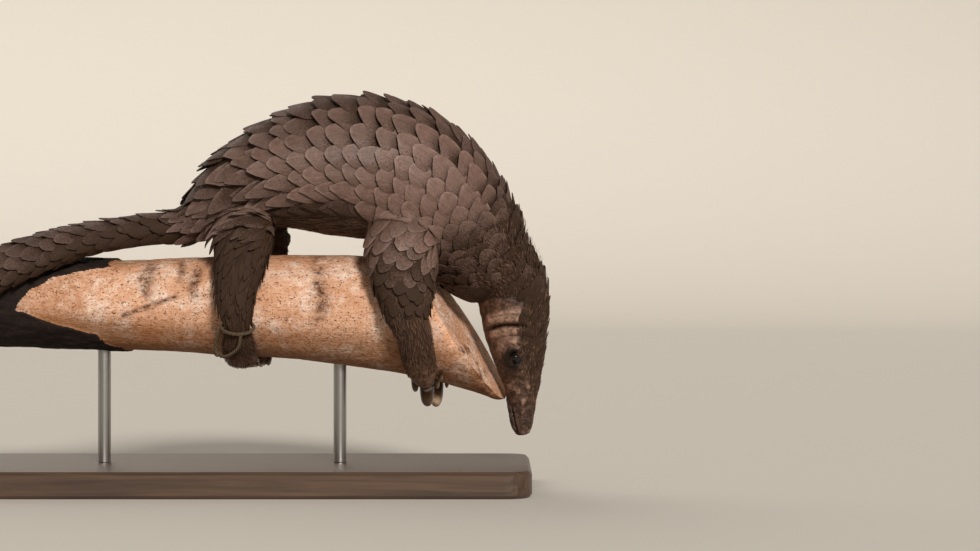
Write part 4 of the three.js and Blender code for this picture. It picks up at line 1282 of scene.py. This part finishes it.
def trunk_sites(start, end, low, high):
    """Scale sites on the trunk between two distances, and between two angles off the back."""
    sites = []
    for s, off, hand, pitch, room, flank in body_places():
        if not (low <= off < high and start <= s < end):
            continue
        # How far a scale belongs to the flank's lower edge, to the fringe below it, and to other parts
        margin = bump_at(off, 114, 8) * flank
        fringe = ease(120, 128, off) * flank
        hip = bump_at(s, ROOT - 60, 25) * ease(80, 98, off)
        rump = ease(ROOT - 90, ROOT - 30, s)
        neck = 1 - ease(110, 140, s) * (1 - 0.35 * (1 - ease(40, 64, off)))
        throat = max(ease(110, 140, off), 1 - ease(35, 60, off))
        half = min(9.8, 0.78 * room + 0.2) * (1 - 0.12 * margin - 0.2 * fringe - 0.15 * hip)
        lift = millimetres(sizes().scale_lift) * min(1.0, half / 7)
        # Neck, throat, fringe, rump and hip are darker, soil with painted shade; the rump's lesser wear is
        # painted shade too, and the extra wear round the shoulder is a painted pool of light
        grime = 0.04 + neck * (0.54 + 0.26 * throat) + 0.6 * fringe + 0.16 * rump + 0.2 * hip
        worn = 0.5 + 0.15 * margin - 0.25 * fringe - 0.3 * rump + 0.1 * neck
        sites.append({
            "s": s, "angle": off * hand * DEG, "half": half,
            "length": pitch * (1.85 + 0.35 * margin + 0.2 * fringe + 0.15 * rump + 0.9 * hip),
            "lift": lift * (1 + 0.35 * rump + 0.25 * neck + 0.3 * margin + 0.5 * hip),
            "point": min(0.9, 0.16 + 0.3 * margin + 0.5 * fringe + 0.34 * rump + 0.5 * hip),
            "skew": hand * hip * (10 + 30 * ease(95, 125, off)) * DEG,
            "grime": min(0.9, grime),
            "roll": 1.25 * hand * ease(8, 40, off) * (1 - 0.7 * neck) * (1 - 0.4 * rump),
            "wild": 0.1 + 1.3 * neck + 0.25 * rump + 0.2 * hip,
            "stiff": 0.45 + 0.4 * rump + 0.2 * neck + 0.4 * hip,
            "worn": worn + 0.7 * bump_at(s, 158, 30),
        })
    return sites


def tail_pitch(s):
    """Distance between rings of scales on the tail, shorter towards its tip."""
    return mix(6.4, 3.6, max(s, 0) / tail.length)


def tail_sites():
    """Scales all round the tail, smaller towards its tip, and darker towards its sides and underside, soil
    with painted shade.
    """
    sites = []
    spacing = 33.0
    for ring, s in enumerate(ring_places(-2.0, tail.length - 7, tail_pitch)):
        shrink = max(s, 0) / tail.length
        for j in range(-4, 5):
            if (j + ring) % 2:
                continue
            degrees = j * spacing
            marginal = ease(45, 95, abs(degrees))
            sites.append({
                "s": s, "angle": degrees * DEG, "length": tail_pitch(s) * 3.2,
                "half": min(8.6, 0.78 * scale_width(tail, s, degrees, spacing) + 0.3),
                "lift": millimetres(sizes().scale_lift) * mix(1.0, 0.5, shrink),
                "point": 0.35 + 0.3 * marginal,
                "grime": 0.4 + 0.55 * marginal, "wild": 0.3, "worn": 0.34 - 0.34 * marginal,
                "roll": 0.5 * np.clip(degrees / 30, -1, 1) * mix(1.0, 0.4, shrink),
            })
    return sites


def leg_sites(kind, name, hand):
    """Scales of a leg: long narrow blades that fan back on the thigh, round ones on the upper arm."""
    path = legs[kind, name]
    hind = kind == "hind"
    start, end, first, last = (3.0, 60.0, 5.2, 3.4) if hind else (1.5, 58.0, 6.8, 3.6)
    sites = []
    for ring, s in enumerate(ring_places(start, end, lambda s: mix(first, last, ease(0, end, s)))):
        t = s / end
        pitch = mix(first, last, ease(0, 1, t))
        spacing = mix(13.0, 20.0, t) if hind else mix(20.0, 18.0, t)
        many = int(125 // spacing)
        for j in range(-many, many + 1):
            if (j + ring) % 2:
                continue
            degrees = j * spacing
            room = scale_width(path, s, degrees, spacing)
            if hind:
                high = 1 - ease(0.02, 0.55, t)
                # Lower down the hind leg the scales are darker: soil with painted shade
                sites.append({
                    "s": s, "angle": degrees * DEG, "length": pitch * 3.9 + 9.0 * high,
                    "half": min(2.6 + 1.8 * high, 0.8 * room), "lift": 1.7 + 0.9 * high,
                    "point": 0.65 + 0.2 * high, "skew": -(18 + 52 * high) * hand * DEG,
                    "grime": 0.92 - 0.7 * high, "roll": -0.5 * high * hand, "wild": 0.9,
                    "stiff": 0.3 + 0.45 * high, "worn": 0.05 + 0.5 * high,
                })
            else:
                high = 1 - ease(0.25, 0.95, t)
                sites.append({
                    "s": s, "angle": degrees * DEG, "length": pitch * 3.1,
                    "half": min(7.4, 0.76 * room + 0.2), "lift": 1.6 + 0.1 * high, "point": 0.15,
                    "skew": -(12 + 30 * high) * hand * DEG, "grime": 0.74 - 0.62 * high,
                    "roll": -0.35 * hand * high, "wild": 1.3 - 0.8 * high, "stiff": 0.2,
                    "worn": 0.3 + 0.55 * high,
                })
    return sites


def crown_pitch(s):
    """Distance between rings of scales on brow and crown."""
    return 1.7 + 1.4 * ease(24, 92, s)


def head_sites():
    """Small scales on the brow and crown, from before the eyes to the nape."""
    sites = []
    for ring, s in enumerate(ring_places(19.0, 95, crown_pitch)):
        room = 2.6 + 2.4 * ease(24, 92, s)
        _, _, _, _, height, width = trunk.at(np.array(s))
        spacing = room / (float(height + width) / 2) / DEG
        many = int(brow_limit(s) // spacing)
        for j in range(-many, many + 1):
            if (j + ring) % 2:
                continue
            sites.append({
                "s": s, "angle": j * spacing * DEG, "length": crown_pitch(s) * 4.0, "half": room * 0.74,
                "lift": 0.9 + 0.6 * ease(24, 92, s), "point": 0.65, "grime": 0.9 - 0.08 * ease(60, 92, s),
                "wild": 1.0, "stiff": 0.5, "worn": 0.2,
            })
    return sites


# Hair

def lay_hair(name, field, places, palest=1.0):
    """Thin tapered locks that lie along a limb, as one piece.

    Places are rows of [s, angle, length, width, skew, stand]. The palest tone of a lock is given."""
    path = FIELDS[field][0]
    s0, angle0, length, width, skew, stand = [np.array(column, float) for column in zip(*places)]
    draw = np.random.default_rng(sum(map(ord, name)) + 5)
    count = len(s0)
    length = length * draw.uniform(0.6, 1.25, count)
    skew = skew + draw.normal(0, 9, count) * DEG
    stand = stand * draw.uniform(0.3, 1.7, count)
    curl = draw.normal(0, 10, count) * DEG
    tone = draw.uniform(0.1, palest, count)
    steps = 5
    t = np.linspace(0, 1, steps)[None, :]
    turn = skew[:, None] + curl[:, None] * t
    run = length[:, None] * t
    across, stretch = path.round(s0, angle0)
    s = s0[:, None] + run * np.cos(turn) / stretch[:, None]
    angle = angle0[:, None] + run * np.sin(turn) / across[:, None]
    rise = -0.8 * (1 - t) ** 2 + stand[:, None] * np.sin(t * math.pi * 0.6)
    middle, _ = raised_off_hide(path.point(s, angle, rise - SKIN_DEPTH + 0.3), rise + 0.1, 9.0)
    ahead = unit(np.gradient(middle, axis=1))
    outward = unit(path.point(s, angle, 1.0) - path.point(s, angle, -1.0))
    beside = unit(np.cross(ahead, outward))
    half = width[:, None] / 2 * (1 - t**2) + 0.04
    left = middle + beside * half[..., None]
    right = middle - beside * half[..., None]
    crest = middle + outward * (half * 0.7)[..., None]
    points = np.stack([left, crest, right], axis=2).reshape(count, -1, 3)
    quads = []
    for i in range(steps - 1):
        for a, b in ((0, 1), (1, 2), (2, 0)):
            quads.append([i * 3 + b, i * 3 + a, (i + 1) * 3 + a, (i + 1) * 3 + b])
    faces = np.array(quads)[None] + (np.arange(count) * steps * 3)[:, None, None]
    ends = [[0, 1, 2], [(steps - 1) * 3 + 2, (steps - 1) * 3 + 1, (steps - 1) * 3]]
    caps = np.array(ends)[None] + (np.arange(count) * steps * 3)[:, None, None]
    every = faces.reshape(-1, 4).tolist() + caps.reshape(-1, 3).tolist()
    piece = mesh_piece(
        name, points.reshape(-1, 3), every, FINISHES["hair"], "skin",
        along=np.repeat(np.broadcast_to(t, (count, steps)).ravel(), 3), tone=np.repeat(tone, steps * 3),
    )
    # Every lock has its own patch of the bake map, with its three edges side by side
    root = unrolled(field, s0, angle0)[:, None, None, :]
    local = np.empty((1, steps, 3, 2))
    local[..., 0] = t[:, :, None] - 0.5
    local[..., 1] = np.array([-0.4, 0.1, 0.4])
    give_map(piece, (root + local * MAP_PATCH).reshape(-1, 2))
    return piece


def scatter(draw, count, s_range, degree_range):
    """Random places on a limb: distances along it and degrees off its back."""
    s = draw.uniform(*s_range, count)
    degrees = draw.uniform(*degree_range, count)
    return s, degrees


def locks(s, degrees, length, width, skew, stand):
    """Rows of [s, angle, length, width, skew, stand], with one value for all locks or one for each."""
    return np.column_stack(np.broadcast_arrays(s, degrees * DEG, length, width, skew, stand)).tolist()


# Operators

FINISHES = {}  # holds the object's materials, once they are made


class PANGOLIN_OT_camera(bpy.types.Operator):
    """Sets the camera where the photo was taken from"""
    bl_idname = "pangolin.camera"
    bl_label = "Camera"

    def execute(self, context):
        data = bpy.data.cameras.new("photo_camera")
        data.sensor_width = CAMERA["sensor"]
        data.lens = CAMERA["sensor"] * CAMERA["distance"] / CAMERA["view_width"]
        camera = bpy.data.objects.new("photo_camera", data)
        camera.location = Vector((CAMERA["x"], -CAMERA["distance"], CAMERA["z"])) * MM
        camera.rotation_euler = (math.pi / 2, 0, 0)
        context.scene.collection.objects.link(camera)
        context.scene.camera = camera
        return {"FINISHED"}


class PANGOLIN_OT_hide(bpy.types.Operator):
    """Makes the one skin of head, body, tail and legs"""
    bl_idname = "pangolin.hide"
    bl_label = "Hide"

    def execute(self, context):
        body, body_faces = fused_body()
        head, head_faces, pale, wet, dark = head_skin()
        offset = len(body)
        faces = body_faces + [[i + offset for i in face] for face in head_faces]
        points = np.vstack([body, head])
        foot = np.zeros(len(body))
        # Share of bare foot: the soles and toes are pale, bare skin with a painted sheen, and the rest of
        # the body is haired, its hide painted dark as shade
        for (kind, _), leg in legs.items():
            paw = leg.at(leg.length - (8 if kind == "hind" else 14))[0]
            foot = np.maximum(foot, 1 - ease(12, 24, np.linalg.norm(body - paw, axis=1)))
        piece = mesh_piece(
            "hide", points, faces, FINISHES["hide"], "skin",
            pale=np.concatenate([0.8 * foot, pale]),
            wet=np.concatenate([0.3 * foot, wet]),
            dark=np.concatenate([0.6 - 0.5 * foot, dark]),
            haired=np.concatenate([1 - foot, np.zeros(len(head))]),
        )
        HIDE["tree"] = BVHTree.FromPolygons(points.tolist(), faces)
        flesh = ["head", "ear_left", "ear_right", "neck", "chest", "back", "rump"]
        flesh += [f"tail_{i}" for i in range(1, 9)]
        for name, _ in HANDS:
            flesh += [f"{part}_{name}" for part in
                      ("thigh", "shank", "hind_foot", "upper_arm", "forearm", "fore_foot")]
        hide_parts(*flesh)
        return {"FINISHED"}


class PANGOLIN_OT_scales(bpy.types.Operator):
    """Lays the horn scales of head, back, flanks, rump, tail and legs"""
    bl_idname = "pangolin.scales"
    bl_label = "Scales"

    def execute(self, context):
        lay_scales("scales_head", "trunk", head_sites())
        withers = 190
        lay_scales("scales_shoulders", "trunk", trunk_sites(0, withers, 0, 180), sunk=11.0)
        lay_scales("scales_back", "trunk", trunk_sites(withers, ROOT, 0, 70))
        lay_scales("scales_flanks", "trunk", trunk_sites(withers, ROOT, 70, 180), sunk=12.0)
        lay_scales("scales_tail", "tail", tail_sites())
        for kind in ("hind", "fore"):
            for name, hand in HANDS:
                leg = f"{kind}_{name}"
                lay_scales(f"scales_{leg}", leg, leg_sites(kind, name, hand), sunk=3.6)
        return {"FINISHED"}


class PANGOLIN_OT_hair(bpy.types.Operator):
    """Lays the coarse hair of legs, belly and throat, and the short hair of crown and nape"""
    bl_idname = "pangolin.hair"
    bl_label = "Hair"

    def execute(self, context):
        draw = np.random.default_rng(11)
        length = millimetres(sizes().hair_length)
        for kind, hair in LEG_HAIR.items():
            for name, hand in HANDS:
                path = legs[kind, name]
                start = hair["from"]
                s, degrees = scatter(draw, hair["locks"], (start, path.length - hair["bare"]), (-150, 150))
                shorter = mix(0.75, 0.4, (s - start) / (path.length - start))
                places = locks(s, degrees, length * shorter, 0.34, 0, 0.25)
                # The inner side of thigh and upper arm
                s, degrees = scatter(draw, 700, (2, start), (100, 250))
                places += locks(s, degrees, length, 0.45, 0, 0.7)
                # The tuft at the front of the knee, and the one behind the elbow
                s, degrees = scatter(draw, 130, (6, 34), (hair["tuft"] - 12, hair["tuft"] + 12))
                places += locks(s, degrees * hand, length * 1.1, 0.4, -0.3 * hand, 0.7)
                # The hair grows paler down to the foot
                down = np.array([place[0] for place in places])
                palest = mix(*hair["palest"], ease(path.length - 32, path.length - 8, down))
                lay_hair(f"hair_{kind}_{name}", f"{kind}_{name}", places, palest)
        s, degrees = scatter(draw, 4400, (16, 126), (-120, 120))
        near = np.abs(degrees) < np.minimum(brow_limit(s) + 8, 160)
        stand = mix(0.5, 2.4, ease(78, 100, s))
        places = locks(s[near], degrees[near], 4.0, 0.3, 0, stand[near])
        lay_hair("hair_crown", "trunk", places, palest=1.5)
        s, degrees = scatter(draw, 4200, (94, ROOT - 20), (136, 224))
        lay_hair("hair_belly", "trunk", locks(s, degrees, length * 1.2, 0.5, 0, 0.6))
        return {"FINISHED"}


class PANGOLIN_OT_eyes(bpy.types.Operator):
    """Makes the two eyes, each a ball with a raised clear front"""
    bl_idname = "pangolin.eyes"
    bl_label = "Eyes"

    def execute(self, context):
        for name, hand in HANDS:
            centre, out, along = eye_frame(hand)
            down = np.cross(out, along)
            columns = 48
            t = np.linspace(0, math.pi, 33)[1:-1]
            angles = np.linspace(0, 2 * math.pi, columns, endpoint=False)
            polar, turns = np.meshgrid(t, angles, indexing="ij")
            radius = EYE["radius"] + EYE["cornea"] * (1 - ease(0.3, 0.75, polar))
            local = np.stack([
                np.sin(polar) * np.cos(turns), np.sin(polar) * np.sin(turns), np.cos(polar),
            ], -1)
            local = local * radius[..., None]
            points = centre + local[..., :1] * along + local[..., 1:2] * down + local[..., 2:] * out
            piece = mesh_piece(
                f"eyeball_{name}", points.reshape(-1, 3), tube_faces(len(t), columns), FINISHES["eye"],
                "eye", along=polar.ravel(),
            )
            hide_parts(f"eye_{name}")
        return {"FINISHED"}


def claw_surface(row, hand):
    """Points of a claw, curved round the log, with each one's share of the way to the tip and its turn
    round the claw."""
    x, degrees, distance, length, radius, rise = row
    shift = 0 if hand > 0 else LEFT_SHIFT
    # The root starts before the claw's own length, in the toe
    t = np.linspace(-CLAW["sunk"], 1, CLAW["rings"])
    bare = np.clip(t, 0, 1)
    turn = degrees * hand + length * t / distance / DEG * hand
    middle = round_log(x + shift, turn, distance + rise * np.sin(bare * math.pi * 0.6))
    ahead = unit(np.gradient(middle, axis=0))
    outward = middle - round_log(x + shift, turn, 0.0)
    outward = unit(outward - ahead * np.sum(outward * ahead, -1, keepdims=True))
    beside = np.cross(outward, ahead)
    around = np.linspace(0, 2 * math.pi, CLAW["columns"], endpoint=False)
    size = radius * np.clip(1 - bare ** 2.6, 0, None) ** 0.62 * 0.98 + 0.06
    up = np.cos(around) * np.where(np.cos(around) > 0, CLAW["back"], CLAW["sole"])
    points = (
        middle[:, None] + outward[:, None] * (size[:, None] * up)[..., None]
        + beside[:, None] * (size[:, None] * CLAW["width"] * np.sin(around))[..., None]
    )
    return points.reshape(-1, 3), np.repeat(t, CLAW["columns"]), np.tile(around, CLAW["rings"])


class PANGOLIN_OT_claws(bpy.types.Operator):
    """Makes the curved claws of all four feet"""
    bl_idname = "pangolin.claws"
    bl_label = "Claws"

    def execute(self, context):
        faces = tube_faces(CLAW["rings"], CLAW["columns"])
        for kind, claws in (("hind", HIND_CLAWS), ("fore", FORE_CLAWS)):
            for name, hand in HANDS:
                for number, row in enumerate(claws, 1):
                    points, along, across = claw_surface(row, hand)
                    piece = mesh_piece(
                        f"horn_{kind}_{name}_{number}", points, faces, FINISHES["claw"], "claw",
                        along=along, across=across,
                    )
                    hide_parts(f"claw_{kind}_{name}_{number}")
        return {"FINISHED"}


def cut_ends(around):
    """Where each line along the log meets the slanting cut, found by a few repeated steps."""
    middle_z = float(log_height(LOG["cut_at"]))
    end = np.full(len(around), float(LOG["cut_at"]))
    for _ in range(12):
        rim = round_log(end, around, log_radius(end))
        end = LOG["cut_at"] + LOG["cut_aside"] * rim[:, 1] - LOG["cut_back"] * (rim[:, 2] - middle_z)
    return end


def moss_spots(points):
    """Share of dark moss in the spots by the log's slanting cut."""
    share = np.zeros(points.shape[:-1])
    for x, z, radius in MOSS_SPOTS:
        share += 2.0 * bump_at(np.hypot(points[..., 0] - x, (points[..., 2] - z) * 1.4), 0, radius)
    return share * (points[..., 1] < 0)


def dark_marks(points, signed):
    """Share of the log's dark marks: ring marks, the scar of a branch on the near side, and moss."""
    x = points[..., 0]
    mark = np.zeros_like(x)
    for place, wide, to in RING_MARKS:
        reach = 1 - ease(to - 26, to, np.abs(signed) + 14 * noise(points, 18, 77))
        broken = ease(-0.8, 0.1, noise(points, 8, 5))
        mark += 1.1 * bump_at(x, place + 4.0 * noise(points, 16, 31), wide) * reach * broken
    scar = bump_at(signed - (103 - (x + 68) * 0.75), 0, 2.6)
    scar = scar * ease(-72, -66, x) * (1 - ease(-40, -32, x))
    return np.clip(mark + 1.8 * scar + moss_spots(points), 0, 1)


def cut_face(ring, facing, seed):
    """Rings of points over a cut end of the log, rough, with its growth rings standing up a little."""
    facing = unit(np.array(facing, float))
    centre = ring.mean(axis=0)
    rings = []
    for share in np.linspace(1, 0, CUT_RINGS + 2)[1:-1]:
        inside = centre + (ring - centre) * share
        growth = np.sin(np.linalg.norm(inside - centre, axis=1) * 1.9)
        wavy = 0.5 * rough(inside, 5, 3, seed) + 0.25 * growth
        rings.append(inside + facing * wavy[:, None])
    return np.array(rings)


class PANGOLIN_OT_log(bpy.types.Operator):
    """Makes the peeled log with its bark, ring marks and rough cut ends"""
    bl_idname = "pangolin.log"
    bl_label = "Log"

    def execute(self, context):
        columns = 200
        around = np.linspace(0, -360, columns, endpoint=False)
        t = np.linspace(0, 1, 330)
        end = cut_ends(around)
        x = LOG["tail_end"] + (end[None, :] - LOG["tail_end"]) * t[:, None]
        degrees = np.broadcast_to(around, x.shape)
        plain = round_log(x, degrees, log_radius(x))
        signed = (degrees + 180) % 360 - 180
        off_top = np.abs(signed)

        # Bark is left on beyond its torn edge, in flakes and furrows
        torn = np.interp(degrees % 360, *zip(*BARK_EDGE)) + 7 * rough(plain, 14, 4, 21)
        bark = 1 - ease(-1.2, 1.2, x - torn)
        flakes = 0.5 + 0.5 * rough(plain * [0.5, 1, 1], 7, 3, 5)
        furrow = np.clip(rough(plain * [0.3, 1, 1], 5, 3, 61), -1, 0.4)
        height = bark * millimetres(sizes().bark_thickness) * (0.7 + 0.7 * flakes + 0.9 * furrow)

        # The wood is wavy and sinks at its marks; it is darker below, soil with painted shade, has soil at
        # the rear, and is darker along its top
        mark = dark_marks(plain, signed)
        height += 0.5 * rough(plain, 30, 2, 2) + 0.2 * rough(plain * [0.5, 1, 1], 4, 3, 9) - 0.4 * mark
        soil = ease(90, 126, off_top) * 0.85 + 0.62 * (1 - ease(-125, -40, x))
        soil = soil + 0.65 * (1 - ease(12, 52, off_top))

        # The rim of the slanting cut is worn round and chipped
        to_cut = end[None, :] - x
        edge = np.clip(1 - to_cut / 6, 0, 1)
        chip = (1 - ease(0, 5, to_cut)) * np.clip(rough(plain, 5, 3, 14), 0, 1)
        height = height * (1 - ease(0.995, 1.0, t))[:, None]
        points = round_log(x, degrees, log_radius(x) + height - 1.2 * chip - 1.8 * edge**2)

        front = cut_face(points[-1], [1, -LOG["cut_aside"], LOG["cut_back"]], 42)
        rear = cut_face(points[0], [-1, 0, 0], 41)
        every = np.concatenate([rear[::-1], points, front])

        def over(value, rear_value, front_value):
            """Values for the side of the log and for its two ends."""
            return np.concatenate([
                np.broadcast_to(rear_value, (len(rear), columns)), value,
                np.broadcast_to(front_value, (len(front), columns)),
            ]).ravel()

        holes = np.clip(rough(front, 4, 2, 55) * 2.4 - 0.9 + moss_spots(front), 0, 1)
        piece = mesh_piece(
            "peeled_log", every.reshape(-1, 3), tube_faces(len(every), columns), FINISHES["log"], "wood",
            bark=over(bark, 0.0, 0.0), mark=over(mark, 0.3, holes), soil=over(soil, 0.5, 0.35),
        )
        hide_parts("log")
        return {"FINISHED"}


def closed_curve(points, count, closed):
    """A smooth line of evenly spaced points through the given ones."""
    points = np.array(points, float)
    n = len(points)
    out = []
    spans = n if closed else n - 1
    for i in range(spans):
        p = [points[(i + k) % n if closed else min(max(i + k, 0), n - 1)] for k in (-1, 0, 1, 2)]
        t = np.linspace(0, 1, 12, endpoint=False)[:, None]
        out.append(
            0.5 * (2 * p[1] + (p[2] - p[0]) * t + (2 * p[0] - 5 * p[1] + 4 * p[2] - p[3]) * t**2
                   + (3 * p[1] - p[0] - 3 * p[2] + p[3]) * t**3)
        )
    out = np.vstack(out + ([points[:1]] if closed else [points[-1:]]))
    gaps = np.concatenate([[0], np.cumsum(np.linalg.norm(np.diff(out, axis=0), axis=1))])
    at = np.linspace(0, gaps[-1], count, endpoint=not closed)
    return np.stack([np.interp(at, gaps, out[:, c]) for c in range(3)], -1), gaps[-1]


def twisted_cord(points, closed, radius, count):
    """Three strands twisted round a line: points, faces, and places along and across them."""
    line, length = closed_curve(points, count, closed)
    ahead = np.roll(line, -1, axis=0) - np.roll(line, 1, axis=0) if closed else np.gradient(line, axis=0)
    ahead = unit(ahead)
    steady = np.array([0.31, 0.2, 0.93])
    beside = unit(np.cross(ahead, steady))
    above = np.cross(beside, ahead)
    turns = round(length / (radius * 6.5))
    phase = np.arange(count) / (count if closed else count - 1) * turns * 2 * math.pi
    sides = 8
    around = np.linspace(0, 2 * math.pi, sides, endpoint=False)
    points_out, faces, along, across = [], [], [], []
    for strand in range(3):
        angle = phase + strand * 2 * math.pi / 3
        middle = line + (beside * np.cos(angle)[:, None] + above * np.sin(angle)[:, None]) * radius * 0.5
        outward = (
            beside[:, None] * np.cos(around)[None, :, None] + above[:, None] * np.sin(around)[None, :, None]
        )
        ring = middle[:, None] + outward * radius * 0.54
        offset = sum(len(p) for p in points_out)
        flat = ring.reshape(-1, 3)
        quads = tube_quads(count + 1, sides) if closed else tube_quads(count, sides)
        if closed:
            quads = quads % (count * sides)
        listed = (quads + offset).tolist()
        if not closed:
            listed.append([offset + k for k in range(sides)])
            listed.append([offset + (count - 1) * sides + k for k in reversed(range(sides))])
        faces += listed
        points_out.append(flat)
        along.append(np.repeat(np.linspace(0, length, count), sides))
        across.append(np.tile(around + strand, count))
    return np.vstack(points_out), faces, np.concatenate(along), np.concatenate(across)


class PANGOLIN_OT_ankle_cord(bpy.types.Operator):
    """Makes the twisted cord round the right ankle and its knot"""
    bl_idname = "pangolin.ankle_cord"
    bl_label = "Ankle cord"

    def execute(self, context):
        leg = legs["hind", "right"]
        ankle = leg.stations[CORD["at_station"]]
        radius = CORD["radius"]
        turns = np.linspace(0, 2 * math.pi, 24, endpoint=False)
        off = radius + CORD["gap"]
        ring = [leg.point(ankle + 0.8 * math.sin(a + 1), np.array(a), off) for a in turns]
        strand = [
            leg.point(ankle + below, np.array(degrees * DEG), off + high) for below, degrees, high in STRAND
        ]
        t = np.linspace(0, 2 * math.pi, 20, endpoint=False)
        knot = np.stack([np.sin(t) + 2 * np.sin(2 * t), np.cos(t) - 2 * np.cos(2 * t), -np.sin(3 * t)], -1)
        knot = np.array(strand[3]) + knot * CORD["knot"]
        lines = (
            (ring, True, 260, radius), (strand, False, 200, radius), (knot, True, 90, CORD["knot_radius"]),
        )
        points, faces, along, across = [], [], [], []
        for line, closed, count, thick in lines:
            made = twisted_cord(line, closed, thick, count)
            offset = sum(len(p) for p in points)
            points.append(made[0])
            faces += [[i + offset for i in face] for face in made[1]]
            along.append(made[2])
            across.append(made[3])
        piece = mesh_piece(
            "twisted_ankle_cord", np.vstack(points), faces, FINISHES["cord"], "cord",
            along=np.concatenate(along), across=np.concatenate(across),
        )
        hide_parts("ankle_cord")
        return {"FINISHED"}


class PANGOLIN_OT_stand(bpy.types.Operator):
    """Finishes the wooden base and its two rods"""
    bl_idname = "pangolin.stand"
    bl_label = "Stand"

    def execute(self, context):
        finishes = {
            "stand_base": oiled_wood(), "stand_rod_1": brushed_steel(), "stand_rod_2": brushed_steel(),
        }
        for node, finish in finishes.items():
            for slot in bpy.data.objects[node].material_slots:
                slot.material = finish
        return {"FINISHED"}


class PANGOLIN_OT_stage(bpy.types.Operator):
    """Lays the pale paper floor that curves up all round, and sets the soft studio light"""
    bl_idname = "pangolin.stage"
    bl_label = "Stage"

    def execute(self, context):
        scene = context.scene
        columns = 96
        flat, radius = SWEEP["flat"], SWEEP["bend"]
        bend = np.linspace(0, math.pi / 2, 13)
        out = np.concatenate([[1.0, 2.5], flat + radius * np.sin(bend), [flat + radius]])
        up = np.concatenate([[0.0, 0.0], radius * (1 - np.cos(bend)), [SWEEP["height"]]])
        around = np.linspace(0, 2 * math.pi, columns, endpoint=False)
        rings = np.stack([
            out[:, None] * np.cos(around), out[:, None] * np.sin(around),
            np.repeat(up[:, None], columns, axis=1),
        ], -1)
        faces = tube_quads(len(out), columns).tolist()
        faces.append(list(range(columns)))
        mesh = bpy.data.meshes.new("studio_paper")
        mesh.from_pydata(rings.reshape(-1, 3).tolist(), [], faces)
        mesh.shade_smooth()
        mesh.materials.append(studio_paper())
        paper = bpy.data.objects.new("studio_paper", mesh)
        scene.collection.objects.link(paper)
        paper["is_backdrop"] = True
        world = bpy.data.worlds.new("studio_air")
        world.use_nodes = True
        air = world.node_tree.nodes["Background"]
        air.inputs["Color"].default_value = AIR["colour"]
        air.inputs["Strength"].default_value = AIR["strength"]
        scene.world = world
        # A broad key from the camera's side, and a very soft weak light from behind
        for name, direction, power, spread, colour in LIGHTS:
            data = bpy.data.lights.new(name, "SUN")
            data.energy = power
            data.angle = spread * DEG
            data.color = srgb(colour)
            light = bpy.data.objects.new(name, data)
            light.rotation_euler = (-Vector(direction)).to_track_quat("-Z", "Y").to_euler()
            scene.collection.objects.link(light)
        scene.view_settings.view_transform = "Standard"
        return {"FINISHED"}


class PANGOLIN_PT_panel(bpy.types.Panel):
    """The steps that build the model, in order"""
    bl_idname = "PANGOLIN_PT_panel"
    bl_label = "Pangolin"
    bl_space_type = "VIEW_3D"
    bl_region_type = "UI"
    bl_category = "Pangolin"

    def draw(self, context):
        layout = self.layout
        for step in STEPS:
            layout.operator(step.bl_idname)
        for group in (context.scene.pangolin_sizes, context.scene.pangolin_colours):
            for key in group.bl_rna.properties.keys():
                if key not in ("rna_type", "name"):
                    layout.prop(group, key)


STEPS = (
    PANGOLIN_OT_camera, PANGOLIN_OT_ankle_cord, PANGOLIN_OT_hide, PANGOLIN_OT_scales, PANGOLIN_OT_hair,
    PANGOLIN_OT_eyes, PANGOLIN_OT_claws, PANGOLIN_OT_log, PANGOLIN_OT_stand, PANGOLIN_OT_stage,
)
CLASSES = (PangolinSizes, PangolinColours, *STEPS, PANGOLIN_PT_panel)


def register():
    for cls in CLASSES:
        bpy.utils.register_class(cls)
    bpy.types.Scene.pangolin_sizes = bpy.props.PointerProperty(type=PangolinSizes)
    bpy.types.Scene.pangolin_colours = bpy.props.PointerProperty(type=PangolinColours)


def unregister():
    del bpy.types.Scene.pangolin_colours
    del bpy.types.Scene.pangolin_sizes
    for cls in reversed(CLASSES):
        bpy.utils.unregister_class(cls)


def corners(box):
    """A box's two corners as plain numbers."""
    return [[float(value) for value in corner] for corner in box]


def main():
    register()
    cad_box = corners(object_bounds())
    FINISHES.update(
        scale=scale_horn(), hide=bare_hide(), hair=coarse_hair(), claw=claw_horn(), eye=wet_eye(),
        log=peeled_log_wood(), cord=twisted_fibre(),
    )
    for step in STEPS:
        group, _, name = step.bl_idname.partition(".")
        getattr(getattr(bpy.ops, group), name)()
    {"cad": cad_box, "visual": corners(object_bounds())}


if __name__ == "__main__":
    main()
